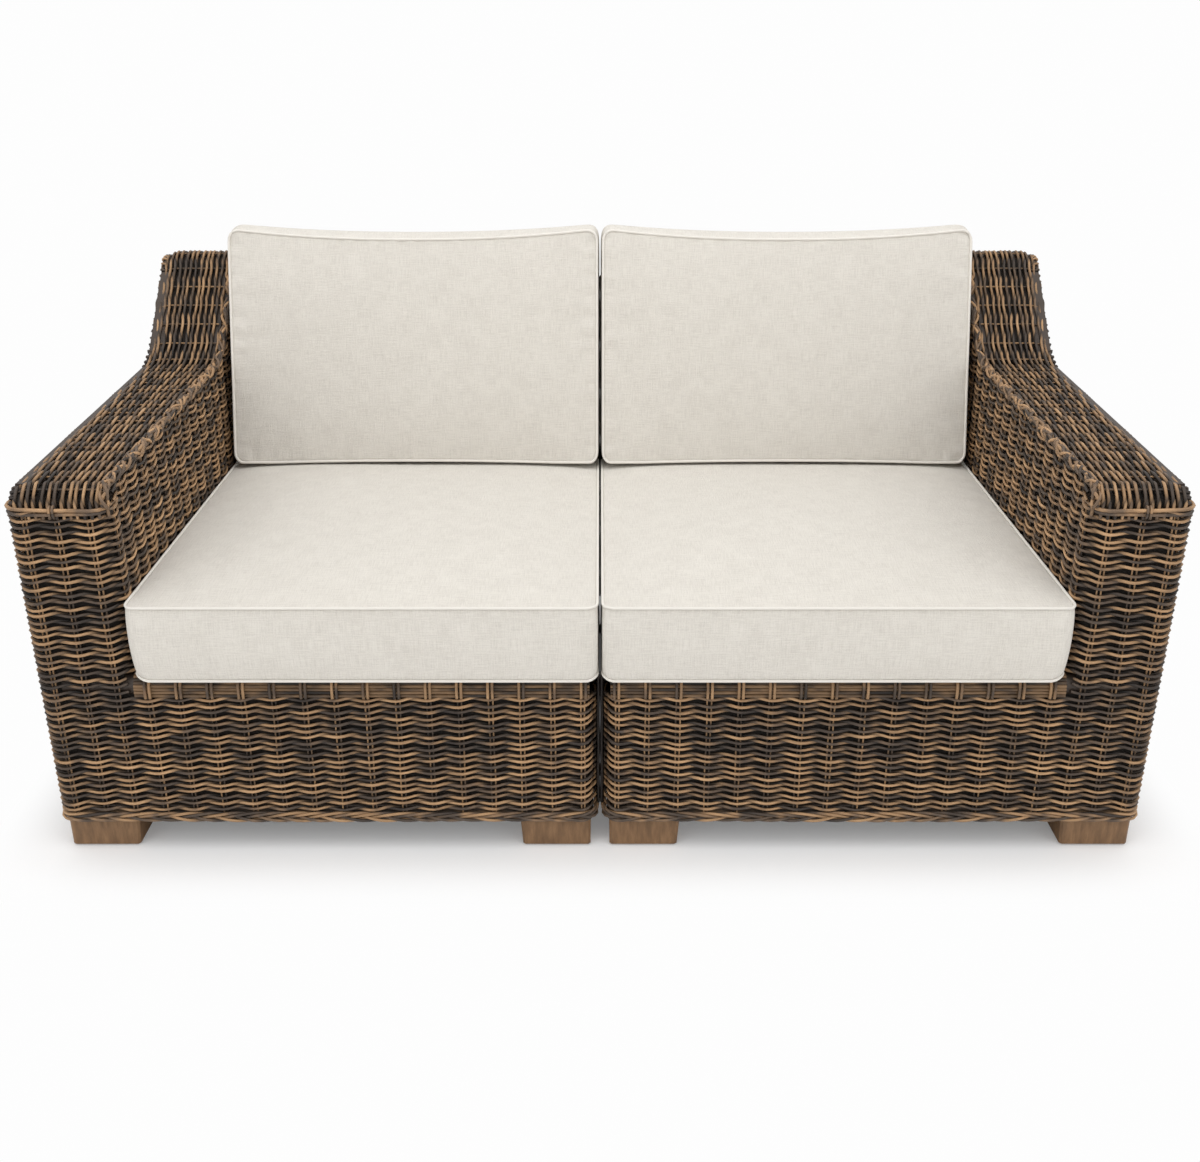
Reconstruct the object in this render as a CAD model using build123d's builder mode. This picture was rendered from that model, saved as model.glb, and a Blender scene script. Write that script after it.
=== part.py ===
from build123d import *
import math
import os

os.makedirs("parts", exist_ok=True)

# Patio loveseat in two mirrored modules, one for each seat, in millimetres.
# X runs to the sitter's left as seen from the front, Y to the rear and Z up, with
# the origin on the floor under the middle. Each piece is drawn once, for the module
# on +X, and mirrored for the other.

# Overall sizes
overall_width = 1816.0
wicker_depth = 930.0
cushion_overhang = 24.0
arm_width = 160.0
joint_gap = 14.0

# Heights above the floor
foot_height = 57.0
seat_deck_z = 330.0
arm_front_z = 647.0
arm_bend_z = 672.0
back_top_z = 850.0
cushion_top_z = 910.0

# Wicker skin
weave = 8.0
corner_r = 28.0
arm_corner_r = 30.0
corner_leg = 42.0
nose_r = 37.0
bend_r = 130.0
shoulder_r = 30.0
back_edge_r = 18.0
arm_slope_run = 230.0
shoulder_setback = 44.0
roll_r = 25.0
roll_slack = 0.5
roll_depth = 50.0
back_lean = 15.0
braid_height = 16.0
braid_proud = 4.0
stake_pairs = 72
stake_start_share = 0.01
stake_rib_width = 15.0
stake_rib_proud = 2.2
overrun = 5.0

# Aluminium frame
tube = 25.0
tube_wall = 2.0
tube_bend_r = 4.0
post_inset = 5.0
post_top_drop = 12.0
arm_post_y = 42.0
rear_post_setback = 118.0
slope_end_setback = 70.0
crossbar = 18.0
crossbar_setback = 60.0
back_rail_z = 560.0
upright_inset = 40.0
slat_height = 210.0
under_rail_drop = 12.0
gusset = 4.0
gusset_length = 50.0

# Webbing under the seat cushion
strap_width = 50.0
strap = 2.0
strap_drop = 6.0
straps_across = 7
straps_along = 6

# Feet
foot_width = 119.0
foot_depth = 73.0
foot_edge = 4.0
foot_inset = 9.0
foot_taper = 4.0
glide = 3.0
glide_r = 14.0
glide_place = 30.0
bolt_r = 4.0
bolt_play = 0.3
bolt_head_r = 8.0
bolt_head = 5.0
bolt_head_depth = 12.0
bolt_above = 8.0
nut_flats = 13.0
nut = 6.5

# Link between the modules
link_width = 40.0
link_plate = 3.0
link_reach = 34.0
link_play = 0.6
link_root = 44.0
link_place = 150.0

# Cushions
cushion_side_gap = 1.0
cushion_arm_gap = 1.5
cushion_back_gap = 3.0
rest_gap = 0.3
seat_thickness = 126.0
seat_corner_r = 24.0
back_thickness = 125.0
back_corner_r = 32.0
draw_in = 7.0
under_draw_in = 30.0
under_draw_rise = 6.0
seat_crown_insets = (7.0, 45.0, 120.0, 230.0)
seat_crown_rises = (0.0, 8.0, 14.0, 18.0)
back_crown_shares = (0.2, 0.46, 0.76)
back_crown_rises = (9.0, 15.0, 18.0)
back_rest_gap = 0.4
wrap_batting = 14.0
core_corner_r = 12.0
zip_margin = 69.0
zip_width = 9.0
zip_depth = 8.0
zip_tape = 1.5
slider_length = 12.0
slider_thick = 3.0
slider_play = 0.4
pull_length = 20.0
pull_width = 5.0
pull_thick = 1.2

# Places that follow from the sizes above
front_y = (cushion_overhang - braid_proud - wicker_depth) / 2
rear_y = front_y + wicker_depth
inner_x = joint_gap / 2
outer_x = overall_width / 2
arm_x = outer_x - arm_width
skin_in_x = inner_x + weave
skin_out_x = outer_x - weave
rail_top_z = seat_deck_z - weave
rail_low_z = rail_top_z - tube
braid_top_z = foot_height + braid_height
roll_y = rear_y - roll_r
roll_z = back_top_z - roll_r
roll_join_z = back_top_z - roll_depth
nose_z = arm_front_z - nose_r
arm_bend_y = rear_y - arm_slope_run
shoulder_y = rear_y - shoulder_setback
lean = math.radians(back_lean)


def face_y(z):
    """Y of the back's front face at height z: the face leans and runs tangent to the top roll."""
    return roll_y - (roll_r + math.sin(lean) * (roll_z - z)) / math.cos(lean)


def crossing(first, second):
    """The point where two straight lines, each given by two points, cross."""
    (ax, ay), (bx, by) = first
    (cx, cy), (dx, dy) = second
    ux, uy, vx, vy = bx - ax, by - ay, dx - cx, dy - cy
    reach = ((cx - ax) * vy - (cy - ay) * vx) / (ux * vy - uy * vx)
    return (ax + reach * ux, ay + reach * uy)


def inset_path(points, inset):
    """The path moved to its right-hand side by inset, with mitred corners."""
    lines = []
    for (ax, ay), (bx, by) in zip(points, points[1:]):
        length = math.hypot(bx - ax, by - ay)
        step = (inset * (by - ay) / length, inset * (ax - bx) / length)
        lines.append(((ax + step[0], ay + step[1]), (bx + step[0], by + step[1])))
    corners = [crossing(before, after) for before, after in zip(lines, lines[1:])]
    return [lines[0][0]] + corners + [lines[-1][1]]


def inset_radii(points, radii, inset):
    """Bend radii of the moved path: smaller where it turns right, larger where it turns left."""
    moved = []
    for (ax, ay), (bx, by), (cx, cy), radius in zip(points, points[1:], points[2:], radii):
        turns_left = (bx - ax) * (cy - by) - (by - ay) * (cx - bx) > 0
        moved.append(radius + inset if turns_left else radius - inset)
    return moved


def bent_sheet(plane, points, radii, thickness, length):
    """A bent sheet, its section between a filleted path and the path moved in by its thickness."""
    inside = inset_path(points, thickness)
    with BuildPart() as sheet:
        with BuildSketch(plane):
            with BuildLine():
                face = FilletPolyline(*points, radius=radii)
                lining = FilletPolyline(*inside, radius=inset_radii(points, radii, thickness))
                Line(face @ 0, lining @ 0)
                Line(face @ 1, lining @ 1)
            make_face()
        extrude(amount=length)
    return sheet.part


def slab(x0, x1, y0, y1, z0, z1):
    """A plain block between two corners."""
    with BuildPart() as block:
        with BuildSketch(Plane.XY.offset(z0)):
            with Locations(((x0 + x1) / 2, (y0 + y1) / 2)):
                Rectangle(x1 - x0, y1 - y0)
        extrude(amount=z1 - z0)
    return block.part


def hollow_rail(axis, low, high, first, second):
    """A square tube along axis from low to high, with its near corner at first, second."""
    middle = (first + tube / 2, second + tube / 2)
    planes = {
        "x": Plane(origin=(low, middle[0], middle[1]), x_dir=(0, 1, 0), z_dir=(1, 0, 0)),
        "y": Plane(origin=(middle[0], low, middle[1]), x_dir=(-1, 0, 0), z_dir=(0, 1, 0)),
        "z": Plane(origin=(middle[0], middle[1], low), x_dir=(1, 0, 0), z_dir=(0, 0, 1)),
    }
    with BuildPart() as rail:
        with BuildSketch(planes[axis]):
            RectangleRounded(tube, tube, tube_bend_r)
            Rectangle(tube - 2 * tube_wall, tube - 2 * tube_wall, mode=Mode.SUBTRACT)
        extrude(amount=high - low)
    return rail.part


def side_bar(x0, points):
    """A bar of tube width from x0, cut to the outline of points in the side view."""
    with BuildPart() as bar:
        with BuildSketch(Plane.YZ.offset(x0)):
            with BuildLine():
                Polyline(*points, close=True)
            make_face()
        extrude(amount=tube)
    return bar.part


def write_pair(name, solids):
    """Write a piece, or a group of separate solids, for the +X module and its mirror image."""
    for side in ("right", "left"):
        pieces = [solid for part in solids for solid in part.solids()]
        if side == "left":
            pieces = [mirror(solid, about=Plane.YZ) for solid in pieces]
        node = Compound(children=pieces) if len(pieces) > 1 else pieces[0]
        node.label = f"{side}_{name}"
        export_step(node, f"parts/{side}_{name}.step")


# Side view of the arm: up the front, back along the top and up the slope to the back
side_points = [
    (front_y, braid_top_z),
    (front_y, arm_front_z),
    (arm_bend_y, arm_bend_z),
    (shoulder_y, back_top_z),
    (rear_y, back_top_z),
    (rear_y, braid_top_z),
]
side_radii = [nose_r, bend_r, shoulder_r, back_edge_r]


def side_sheet(plane, inset, thickness):
    """Panel in the side view, kept inside the arm's outline by inset."""
    inside = inset_path(side_points, inset)
    with BuildPart() as panel:
        with BuildSketch(plane):
            with BuildLine():
                top = FilletPolyline(*inside, radius=inset_radii(side_points, side_radii, inset))
                Line(top @ 0, top @ 1)
            make_face()
        extrude(amount=thickness)
    return panel.part


# Pairs of stakes stand all round under the skin, and each shows outside as a low rib
quarter_bend = corner_r * math.pi / 2
front_run = wicker_depth - corner_leg - corner_r + quarter_bend
across_run = outer_x - inner_x - 2 * corner_r
rear_run = front_run + across_run + wicker_depth - 2 * corner_r + 2 * quarter_bend
stake_pitch = (2 * (across_run + wicker_depth - 2 * corner_r) + 4 * quarter_bend) / stake_pairs
stake_runs = [(index + stake_start_share) * stake_pitch for index in range(stake_pairs)]


def stake_ribs(first_run, first_x, step, y, outward, low_z, high_z):
    """Ribs on a flat face across the module, where the stakes come to its straight part."""
    with BuildPart() as ribs:
        with BuildSketch(Plane.XY.offset(low_z)):
            for run in stake_runs:
                if first_run + stake_rib_width < run < first_run + across_run - stake_rib_width:
                    x = first_x + step * (run - first_run)
                    wide, narrow = stake_rib_width / 2, stake_rib_width / 4
                    proud = y + outward * stake_rib_proud
                    inside = y - outward * weave / 2
                    with BuildLine():
                        Polyline((x - wide, inside), (x - wide, y), (x - narrow, proud), (x + narrow, proud),
                                 (x + wide, y), (x + wide, inside), close=True)
                    make_face()
        extrude(amount=high_z - low_z)
    return ribs.part


# Woven skin of the base
base_plane = Plane.XY.offset(braid_top_z)
base_radii = [corner_r, corner_r]
corners = [(outer_x, front_y + corner_leg), (outer_x, front_y)]
corners += [(inner_x, front_y), (inner_x, front_y + corner_leg)]
front_top_z = seat_deck_z - corner_r
with BuildPart() as front_weave:
    add(bent_sheet(base_plane, corners, base_radii, weave, front_top_z - braid_top_z))
    add(stake_ribs(front_run, outer_x - corner_r, -1, front_y, -1, braid_top_z, front_top_z))
write_pair("front_weave", [front_weave.part])

corners = [(inner_x, rear_y - corner_leg), (inner_x, rear_y)]
corners += [(outer_x, rear_y), (outer_x, rear_y - corner_leg)]
with BuildPart() as rear_weave:
    add(bent_sheet(base_plane, corners, base_radii, weave, roll_join_z - braid_top_z))
    add(stake_ribs(rear_run, inner_x + corner_r, 1, rear_y, 1, braid_top_z, roll_join_z))
write_pair("rear_weave", [rear_weave.part])

inner_side = slab(inner_x, skin_in_x, front_y + corner_leg, rear_y - corner_leg, braid_top_z, rail_top_z)
write_pair("inner_side_weave", [inner_side])

with BuildPart() as outer_side:
    add(side_sheet(Plane.YZ.offset(skin_out_x), weave, weave))
    with BuildSketch(Plane.YZ.offset(skin_out_x)):
        with BuildLine():
            shape = [(front_y + corner_leg, braid_top_z), (front_y + corner_leg, nose_z)]
            shape += [(front_y + arm_corner_r, nose_z), (front_y + arm_corner_r, back_top_z)]
            shape += [(rear_y, back_top_z), (rear_y, roll_join_z)]
            shape += [(rear_y - corner_leg, roll_join_z), (rear_y - corner_leg, braid_top_z)]
            Polyline(*shape, close=True)
        make_face()
    extrude(amount=weave, mode=Mode.INTERSECT)
write_pair("outer_side_weave", [outer_side.part])

# Woven skin of the arm
arm_foot_z = front_top_z
arm_radii = [corner_r, arm_corner_r]
with BuildPart() as arm_front:
    corners = [(outer_x, front_y + corner_leg), (outer_x, front_y)]
    corners += [(arm_x, front_y), (arm_x, front_y + corner_leg)]
    add(bent_sheet(Plane.XY.offset(arm_foot_z), corners, arm_radii, weave, nose_z - arm_foot_z))
    add(slab(arm_x - overrun, arm_x + arm_corner_r, front_y + weave, front_y + corner_leg + overrun,
             arm_foot_z - overrun, rail_top_z), mode=Mode.SUBTRACT)
write_pair("arm_front_weave", [arm_front.part])

with BuildPart() as arm_inner:
    add(side_sheet(Plane.YZ.offset(arm_x), weave, weave))
    with BuildSketch(Plane.YZ.offset(arm_x)):
        with BuildLine():
            shape = [(front_y + corner_leg, rail_top_z), (front_y + corner_leg, nose_z)]
            shape += [(front_y + arm_corner_r, nose_z), (front_y + arm_corner_r, back_top_z)]
            shape += [(face_y(back_top_z), back_top_z), (face_y(rail_top_z), rail_top_z)]
            Polyline(*shape, close=True)
        make_face()
    extrude(amount=weave, mode=Mode.INTERSECT)
write_pair("arm_inner_weave", [arm_inner.part])

with BuildPart() as arm_top:
    band_points = [(front_y, nose_z)] + side_points[1:5] + [(rear_y, roll_join_z)]
    band_plane = Plane.YZ.offset(arm_x - overrun)
    add(bent_sheet(band_plane, band_points, side_radii, weave, arm_width + 2 * overrun))
    with BuildSketch(Plane.XY.offset(nose_z - overrun)):
        with BuildLine():
            corners = [(outer_x, rear_y + overrun), (outer_x, front_y)]
            corners += [(arm_x, front_y), (arm_x, rear_y + overrun)]
            plan = FilletPolyline(*corners, radius=arm_radii)
            Line(plan @ 0, plan @ 1)
        make_face()
    extrude(amount=back_top_z - nose_z + 2 * overrun, mode=Mode.INTERSECT)
write_pair("arm_top_weave", [arm_top.part])

# Woven skin of the back
with BuildPart() as back_face:
    with BuildSketch(Plane.YZ.offset(skin_in_x)):
        with BuildLine():
            line = [(face_y(rail_top_z), rail_top_z), (face_y(roll_join_z), roll_join_z)]
            lining = inset_path(line, weave)
            top_end = crossing(lining, [(front_y, roll_join_z), (rear_y, roll_join_z)])
            low_end = crossing(lining, [(front_y, rail_top_z), (rear_y, rail_top_z)])
            Polyline(line[0], line[1], top_end, low_end, close=True)
        make_face()
    extrude(amount=arm_x - skin_in_x)
write_pair("back_face_weave", [back_face.part])

roll_points = [(face_y(roll_join_z), roll_join_z), (face_y(back_top_z), back_top_z)]
roll_points += [(rear_y, back_top_z), (rear_y, roll_join_z)]
roll_radii = [roll_r - roll_slack, roll_r - roll_slack]

with BuildPart() as back_top:
    add(bent_sheet(Plane.YZ.offset(skin_in_x), roll_points, roll_radii, weave, arm_x - skin_in_x))
    split(bisect_by=Plane.XY.offset(roll_join_z), keep=Keep.TOP)
write_pair("back_top_weave", [back_top.part])

with BuildPart() as back_end:
    with BuildSketch(Plane.YZ.offset(inner_x)):
        with BuildLine():
            end_points = [(face_y(rail_top_z), rail_top_z)] + roll_points[1:3] + [(rear_y, rail_top_z)]
            edge = FilletPolyline(*end_points, radius=roll_radii)
            Line(edge @ 0, edge @ 1)
        make_face()
        with Locations((rear_y - corner_leg / 2, (rail_top_z + roll_join_z) / 2)):
            Rectangle(corner_leg, roll_join_z - rail_top_z, mode=Mode.SUBTRACT)
    extrude(amount=weave)
write_pair("back_end_weave", [back_end.part])

# Wrapped border round the seat deck: the front one rolls over its rail
deck_back_y = face_y(rail_top_z)
ledge = tube + weave + post_inset
ledge_points = [(front_y, arm_foot_z), (front_y, seat_deck_z), (front_y + corner_leg, seat_deck_z)]
ledge_plane = Plane.YZ.offset(inner_x + ledge)
ledge_radii = [corner_r - roll_slack]
front_ledge = bent_sheet(ledge_plane, ledge_points, ledge_radii, weave, arm_x - inner_x - ledge)
ledge_front_y = front_y + corner_leg
inner_ledge = slab(inner_x, inner_x + ledge, ledge_front_y, deck_back_y, rail_top_z, seat_deck_z)
arm_ledge = slab(arm_x - ledge, arm_x, ledge_front_y, deck_back_y, rail_top_z, seat_deck_z)
rear_ledge = slab(
    inner_x + ledge, arm_x - ledge, deck_back_y - ledge, deck_back_y, rail_top_z, seat_deck_z
)
write_pair("seat_border", [front_ledge, inner_ledge, arm_ledge, rear_ledge])

# Braided border at the foot of the skin, a little proud of it
braid_thick = weave + braid_proud
braid_plane = Plane.XY.offset(foot_height)
braid_radii = [corner_r + braid_proud, corner_r + braid_proud]
edge_y = front_y - braid_proud
corners = [(outer_x + braid_proud, front_y + corner_leg), (outer_x + braid_proud, edge_y)]
corners += [(inner_x - braid_proud, edge_y), (inner_x - braid_proud, front_y + corner_leg)]
front_braid = bent_sheet(braid_plane, corners, braid_radii, braid_thick, braid_height)
edge_y = rear_y + braid_proud
corners = [(inner_x - braid_proud, rear_y - corner_leg), (inner_x - braid_proud, edge_y)]
corners += [(outer_x + braid_proud, edge_y), (outer_x + braid_proud, rear_y - corner_leg)]
rear_braid = bent_sheet(braid_plane, corners, braid_radii, braid_thick, braid_height)
braid_ends = (front_y + corner_leg, rear_y - corner_leg, foot_height, braid_top_z)
inner_braid = slab(inner_x - braid_proud, skin_in_x, *braid_ends)
outer_braid = slab(skin_out_x, outer_x + braid_proud, *braid_ends)
write_pair("bottom_braid", [front_braid, rear_braid, inner_braid, outer_braid])

# Base frame: bottom rails, corner posts and the gussets that the feet bolt to
near_x = skin_in_x
far_x = skin_out_x - tube
near_y = front_y + weave
far_y = rear_y - weave - tube
post_xs = (near_x + post_inset, far_x - post_inset)
post_ys = (near_y + post_inset, far_y - post_inset)
along_x = (post_xs[0] + tube, post_xs[1])
along_y = (post_ys[0] + tube, post_ys[1])
base_frame = [hollow_rail("x", *along_x, y, foot_height) for y in (near_y, far_y)]
base_frame += [hollow_rail("y", *along_y, x, foot_height) for x in (near_x, far_x)]
post_top_z = rail_top_z - post_top_drop
base_frame += [hollow_rail("z", foot_height, post_top_z, x, post_ys[0]) for x in post_xs]

# The rear posts run up to the round tube inside the back's top roll
top_tube_r = roll_r - weave
for post_x in post_xs:
    with BuildPart() as rear_post:
        add(hollow_rail("z", foot_height, roll_z, post_x, post_ys[1]))
        with BuildSketch(Plane.YZ.offset(post_x)):
            with Locations((roll_y, roll_z)):
                Circle(top_tube_r)
        extrude(amount=tube, mode=Mode.SUBTRACT)
    base_frame.append(rear_post.part)

gusset_xs = (near_x + tube, far_x - gusset_length)
gusset_ys = (near_y + tube, far_y - gusset_length)
bolt_xs = (gusset_xs[0] + gusset_length / 2, gusset_xs[1] + gusset_length / 2)
bolt_ys = (gusset_ys[0] + gusset_length / 2, gusset_ys[1] + gusset_length / 2)
post_notch = tube + post_inset
for gusset_x, bolt_x, post_x in zip(gusset_xs, bolt_xs, post_xs):
    for gusset_y, bolt_y, post_y in zip(gusset_ys, bolt_ys, post_ys):
        with BuildPart() as corner_gusset:
            add(slab(gusset_x, gusset_x + gusset_length, gusset_y, gusset_y + gusset_length,
                     foot_height, foot_height + gusset))
            add(slab(post_x, post_x + tube, post_y, post_y + tube, foot_height, foot_height + gusset),
                mode=Mode.SUBTRACT)
            with Locations((bolt_x, bolt_y, foot_height + gusset)):
                Hole(bolt_r + bolt_play, depth=gusset)
        base_frame.append(corner_gusset.part)
write_pair("base_frame", base_frame)

# Seat frame: a round front rail inside the rolled border, and square rails behind it
front_rail_r = corner_r - roll_slack - weave
front_rail_y = front_y + corner_r - roll_slack
front_rail_z = seat_deck_z - corner_r + roll_slack


def round_rail(radius):
    """A solid rod of the given radius along the front rail."""
    with BuildPart() as rod:
        with BuildSketch(Plane.YZ.offset(along_x[0])):
            with Locations((front_rail_y, front_rail_z)):
                Circle(radius)
        extrude(amount=along_x[1] - along_x[0])
    return rod.part


def coped(piece):
    """The piece with its front end cut to fit round the front rail."""
    with BuildPart() as fitted:
        add(piece)
        add(round_rail(front_rail_r), mode=Mode.SUBTRACT)
    return fitted.part


with BuildPart() as front_rail:
    add(round_rail(front_rail_r))
    add(round_rail(front_rail_r - tube_wall), mode=Mode.SUBTRACT)
seat_far_x = arm_x - tube
deck_rear_y = face_y(rail_top_z)
middle_y = (front_rail_y + deck_rear_y) / 2
seat_frame = [front_rail.part, hollow_rail("x", *along_x, far_y, rail_low_z)]
seat_frame += [hollow_rail("y", *along_y, x, rail_low_z) for x in (near_x, far_x)]
for rail_x in (seat_far_x, arm_x + weave):
    seat_frame.append(coped(hollow_rail("y", front_rail_y, far_y, rail_x, rail_low_z)))
seat_frame.append(hollow_rail("x", near_x + tube, seat_far_x, deck_rear_y, rail_low_z))
under_rail_z = rail_low_z - under_rail_drop
under_rail = hollow_rail("x", near_x + tube, seat_far_x, middle_y, under_rail_z)
seat_frame.append(under_rail)
write_pair("seat_frame", seat_frame)

# Webbing stretched inside the seat frame, one layer each way
strap_z = rail_top_z - strap_drop
strap_x0 = near_x + tube
strap_y0 = front_rail_y + front_rail_r
across_pitch = (deck_rear_y - strap_y0) / straps_across
along_pitch = (seat_far_x - strap_x0) / straps_along
webbing = []
for row in range(straps_across):
    strap_y = strap_y0 + (row + 0.5) * across_pitch - strap_width / 2
    webbing.append(slab(strap_x0, seat_far_x, strap_y, strap_y + strap_width, strap_z, strap_z + strap))
for row in range(straps_along):
    strap_x = strap_x0 + (row + 0.5) * along_pitch - strap_width / 2
    strap_ends = (front_rail_y, deck_rear_y, strap_z + strap, strap_z + 2 * strap)
    webbing.append(coped(slab(strap_x, strap_x + strap_width, *strap_ends)))
write_pair("seat_webbing", webbing)

# Arm frame: two bent sides of four bars each, with crossbars between them
bar_top = inset_path(side_points, weave)
bar_low = inset_path(side_points, weave + tube)


def height_on(first, second, y):
    """Height of the line through two side-view points at y."""
    return first[1] + (second[1] - first[1]) * (y - first[0]) / (second[0] - first[0])


def arm_side_bars(x0):
    """Front post, top rail, sloping rail and rear post of one side of the arm."""
    post_y0 = front_y + arm_post_y
    post_y1 = post_y0 + tube
    end_y = rear_y - slope_end_setback
    rear_y0 = rear_y - rear_post_setback
    rear_y1 = rear_y0 + tube
    low_rail = (bar_low[1], bar_low[2])
    low_slope = (bar_low[2], bar_low[3])
    post = [(post_y0, rail_top_z), (post_y1, rail_top_z)]
    post += [(post_y1, height_on(*low_rail, post_y1)), (post_y0, height_on(*low_rail, post_y0))]
    rail = [(post_y0, height_on(*low_rail, post_y0)), bar_low[2], bar_top[2]]
    rail += [(post_y0, height_on(bar_top[1], bar_top[2], post_y0))]
    slope = [bar_low[2], (end_y, height_on(*low_slope, end_y))]
    slope += [(end_y, height_on(bar_top[2], bar_top[3], end_y)), bar_top[2]]
    rear_post = [(rear_y0, rail_top_z), (rear_y1, rail_top_z)]
    rear_post += [(rear_y1, height_on(*low_slope, rear_y1)), (rear_y0, height_on(*low_slope, rear_y0))]
    return [side_bar(x0, outline) for outline in (post, rail, slope, rear_post)]


arm_bar_xs = (arm_x + weave, far_x)
arm_frame = arm_side_bars(arm_bar_xs[0]) + arm_side_bars(arm_bar_xs[1])
post_middle_y = front_y + arm_post_y + tube / 2
for bar_y in (post_middle_y, (front_y + arm_bend_y) / 2, arm_bend_y - crossbar_setback):
    middle_z = (height_on(bar_top[1], bar_top[2], bar_y) + height_on(bar_low[1], bar_low[2], bar_y)) / 2
    arm_frame.append(
        slab(arm_bar_xs[0] + tube, arm_bar_xs[1], bar_y - crossbar / 2, bar_y + crossbar / 2,
             middle_z - crossbar / 2, middle_z + crossbar / 2)
    )
write_pair("arm_frame", arm_frame)

# Back frame: leaning uprights, slats between them, the round top tube and a rear rail
upright_line = [(face_y(rail_top_z), rail_top_z), (face_y(roll_z), roll_z)]
front_edge = inset_path(upright_line, weave)
rear_edge = inset_path(upright_line, weave + tube)
foot_level = [(front_y, rail_top_z), (rear_y, rail_top_z)]
head_level = [(front_y, roll_z), (rear_y, roll_z)]
back_frame = []
upright_ends = (inner_x + upright_inset, arm_x - upright_inset - tube)
upright_xs = (upright_ends[0], (upright_ends[0] + upright_ends[1]) / 2, upright_ends[1])
for upright_x in upright_xs:
    with BuildPart() as upright:
        outline = [crossing(front_edge, foot_level), crossing(front_edge, head_level)]
        outline += [crossing(rear_edge, head_level), crossing(rear_edge, foot_level)]
        add(side_bar(upright_x, outline))
        with BuildSketch(Plane.YZ.offset(upright_x)):
            with Locations((roll_y, roll_z)):
                Circle(top_tube_r)
        extrude(amount=tube, mode=Mode.SUBTRACT)
    back_frame.append(upright.part)
for left_x, right_x in zip(upright_xs, upright_xs[1:]):
    slat_line = [(face_y(rail_top_z + slat_height), rail_top_z + slat_height)]
    slat_line += [(face_y(rail_top_z + slat_height + tube), rail_top_z + slat_height + tube)]
    slat_front = inset_path(slat_line, weave)
    slat_rear = inset_path(slat_line, weave + tube)
    with BuildPart() as slat:
        with BuildSketch(Plane.YZ.offset(left_x + tube)):
            with BuildLine():
                Polyline(slat_front[0], slat_front[1], slat_rear[1], slat_rear[0], close=True)
            make_face()
        extrude(amount=right_x - left_x - tube)
    back_frame.append(slat.part)
with BuildPart() as top_tube:
    with BuildSketch(Plane.YZ.offset(skin_in_x)):
        with Locations((roll_y, roll_z)):
            Circle(top_tube_r)
            Circle(top_tube_r - tube_wall, mode=Mode.SUBTRACT)
    extrude(amount=skin_out_x - skin_in_x)
back_frame.append(top_tube.part)
back_frame.append(hollow_rail("x", *along_x, far_y, back_rail_z))
write_pair("back_frame", back_frame)

# Wooden feet with glides, bolted up through the gussets
foot_xs = (inner_x + foot_inset, outer_x - foot_inset - foot_width)
foot_ys = (front_y + foot_inset, rear_y - foot_inset - foot_depth)
feet = []
glides = []
foot_bolts = []
for foot_x, bolt_x, low_x0, low_x1 in zip(foot_xs, bolt_xs, (0, foot_taper), (foot_taper, 0)):
    for foot_y, bolt_y in zip(foot_ys, bolt_ys):
        foot_middle = (foot_x + foot_width / 2, foot_y + foot_depth / 2)
        with BuildPart() as foot:
            with BuildSketch(Plane.XZ.offset(-foot_y)):
                with BuildLine():
                    Polyline((foot_x, foot_height), (foot_x + foot_width, foot_height),
                             (foot_x + foot_width - low_x1, glide), (foot_x + low_x0, glide), close=True)
                make_face()
            extrude(amount=-foot_depth)
            uprights = [edge for edge in edges() if abs((edge @ 0 - edge @ 1).Z) > glide]
            chamfer(uprights, foot_edge)
            with Locations((bolt_x, bolt_y, foot_height)):
                Hole(bolt_r + bolt_play, depth=foot_height)
            with BuildSketch(Plane.XY.offset(glide)):
                with Locations((bolt_x, bolt_y)):
                    Circle(bolt_head_r + bolt_play)
            extrude(amount=bolt_head_depth, mode=Mode.SUBTRACT)
        feet.append(foot.part)
        for side in (-1, 1):
            with BuildPart() as disc:
                with BuildSketch():
                    with Locations((foot_middle[0] + side * glide_place, foot_middle[1])):
                        Circle(glide_r)
                extrude(amount=glide)
            glides.append(disc.part)
        with BuildPart() as bolt:
            with BuildSketch(Plane.XY.offset(glide + bolt_head_depth - bolt_head)):
                with Locations((bolt_x, bolt_y)):
                    Circle(bolt_head_r)
            extrude(amount=bolt_head)
            with BuildSketch(Plane.XY.offset(glide + bolt_head_depth)):
                with Locations((bolt_x, bolt_y)):
                    Circle(bolt_r)
            extrude(amount=foot_height + gusset + bolt_above - glide - bolt_head_depth)
        with BuildPart() as bolt_nut:
            with BuildSketch(Plane.XY.offset(foot_height + gusset)):
                with Locations((bolt_x, bolt_y)):
                    RegularPolygon(nut_flats / 2, 6, major_radius=False)
                    Circle(bolt_r + bolt_play, mode=Mode.SUBTRACT)
            extrude(amount=nut)
        foot_bolts += [bolt.part, bolt_nut.part]
write_pair("feet", feet)
write_pair("glides", glides)
write_pair("foot_bolts", foot_bolts)

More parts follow.
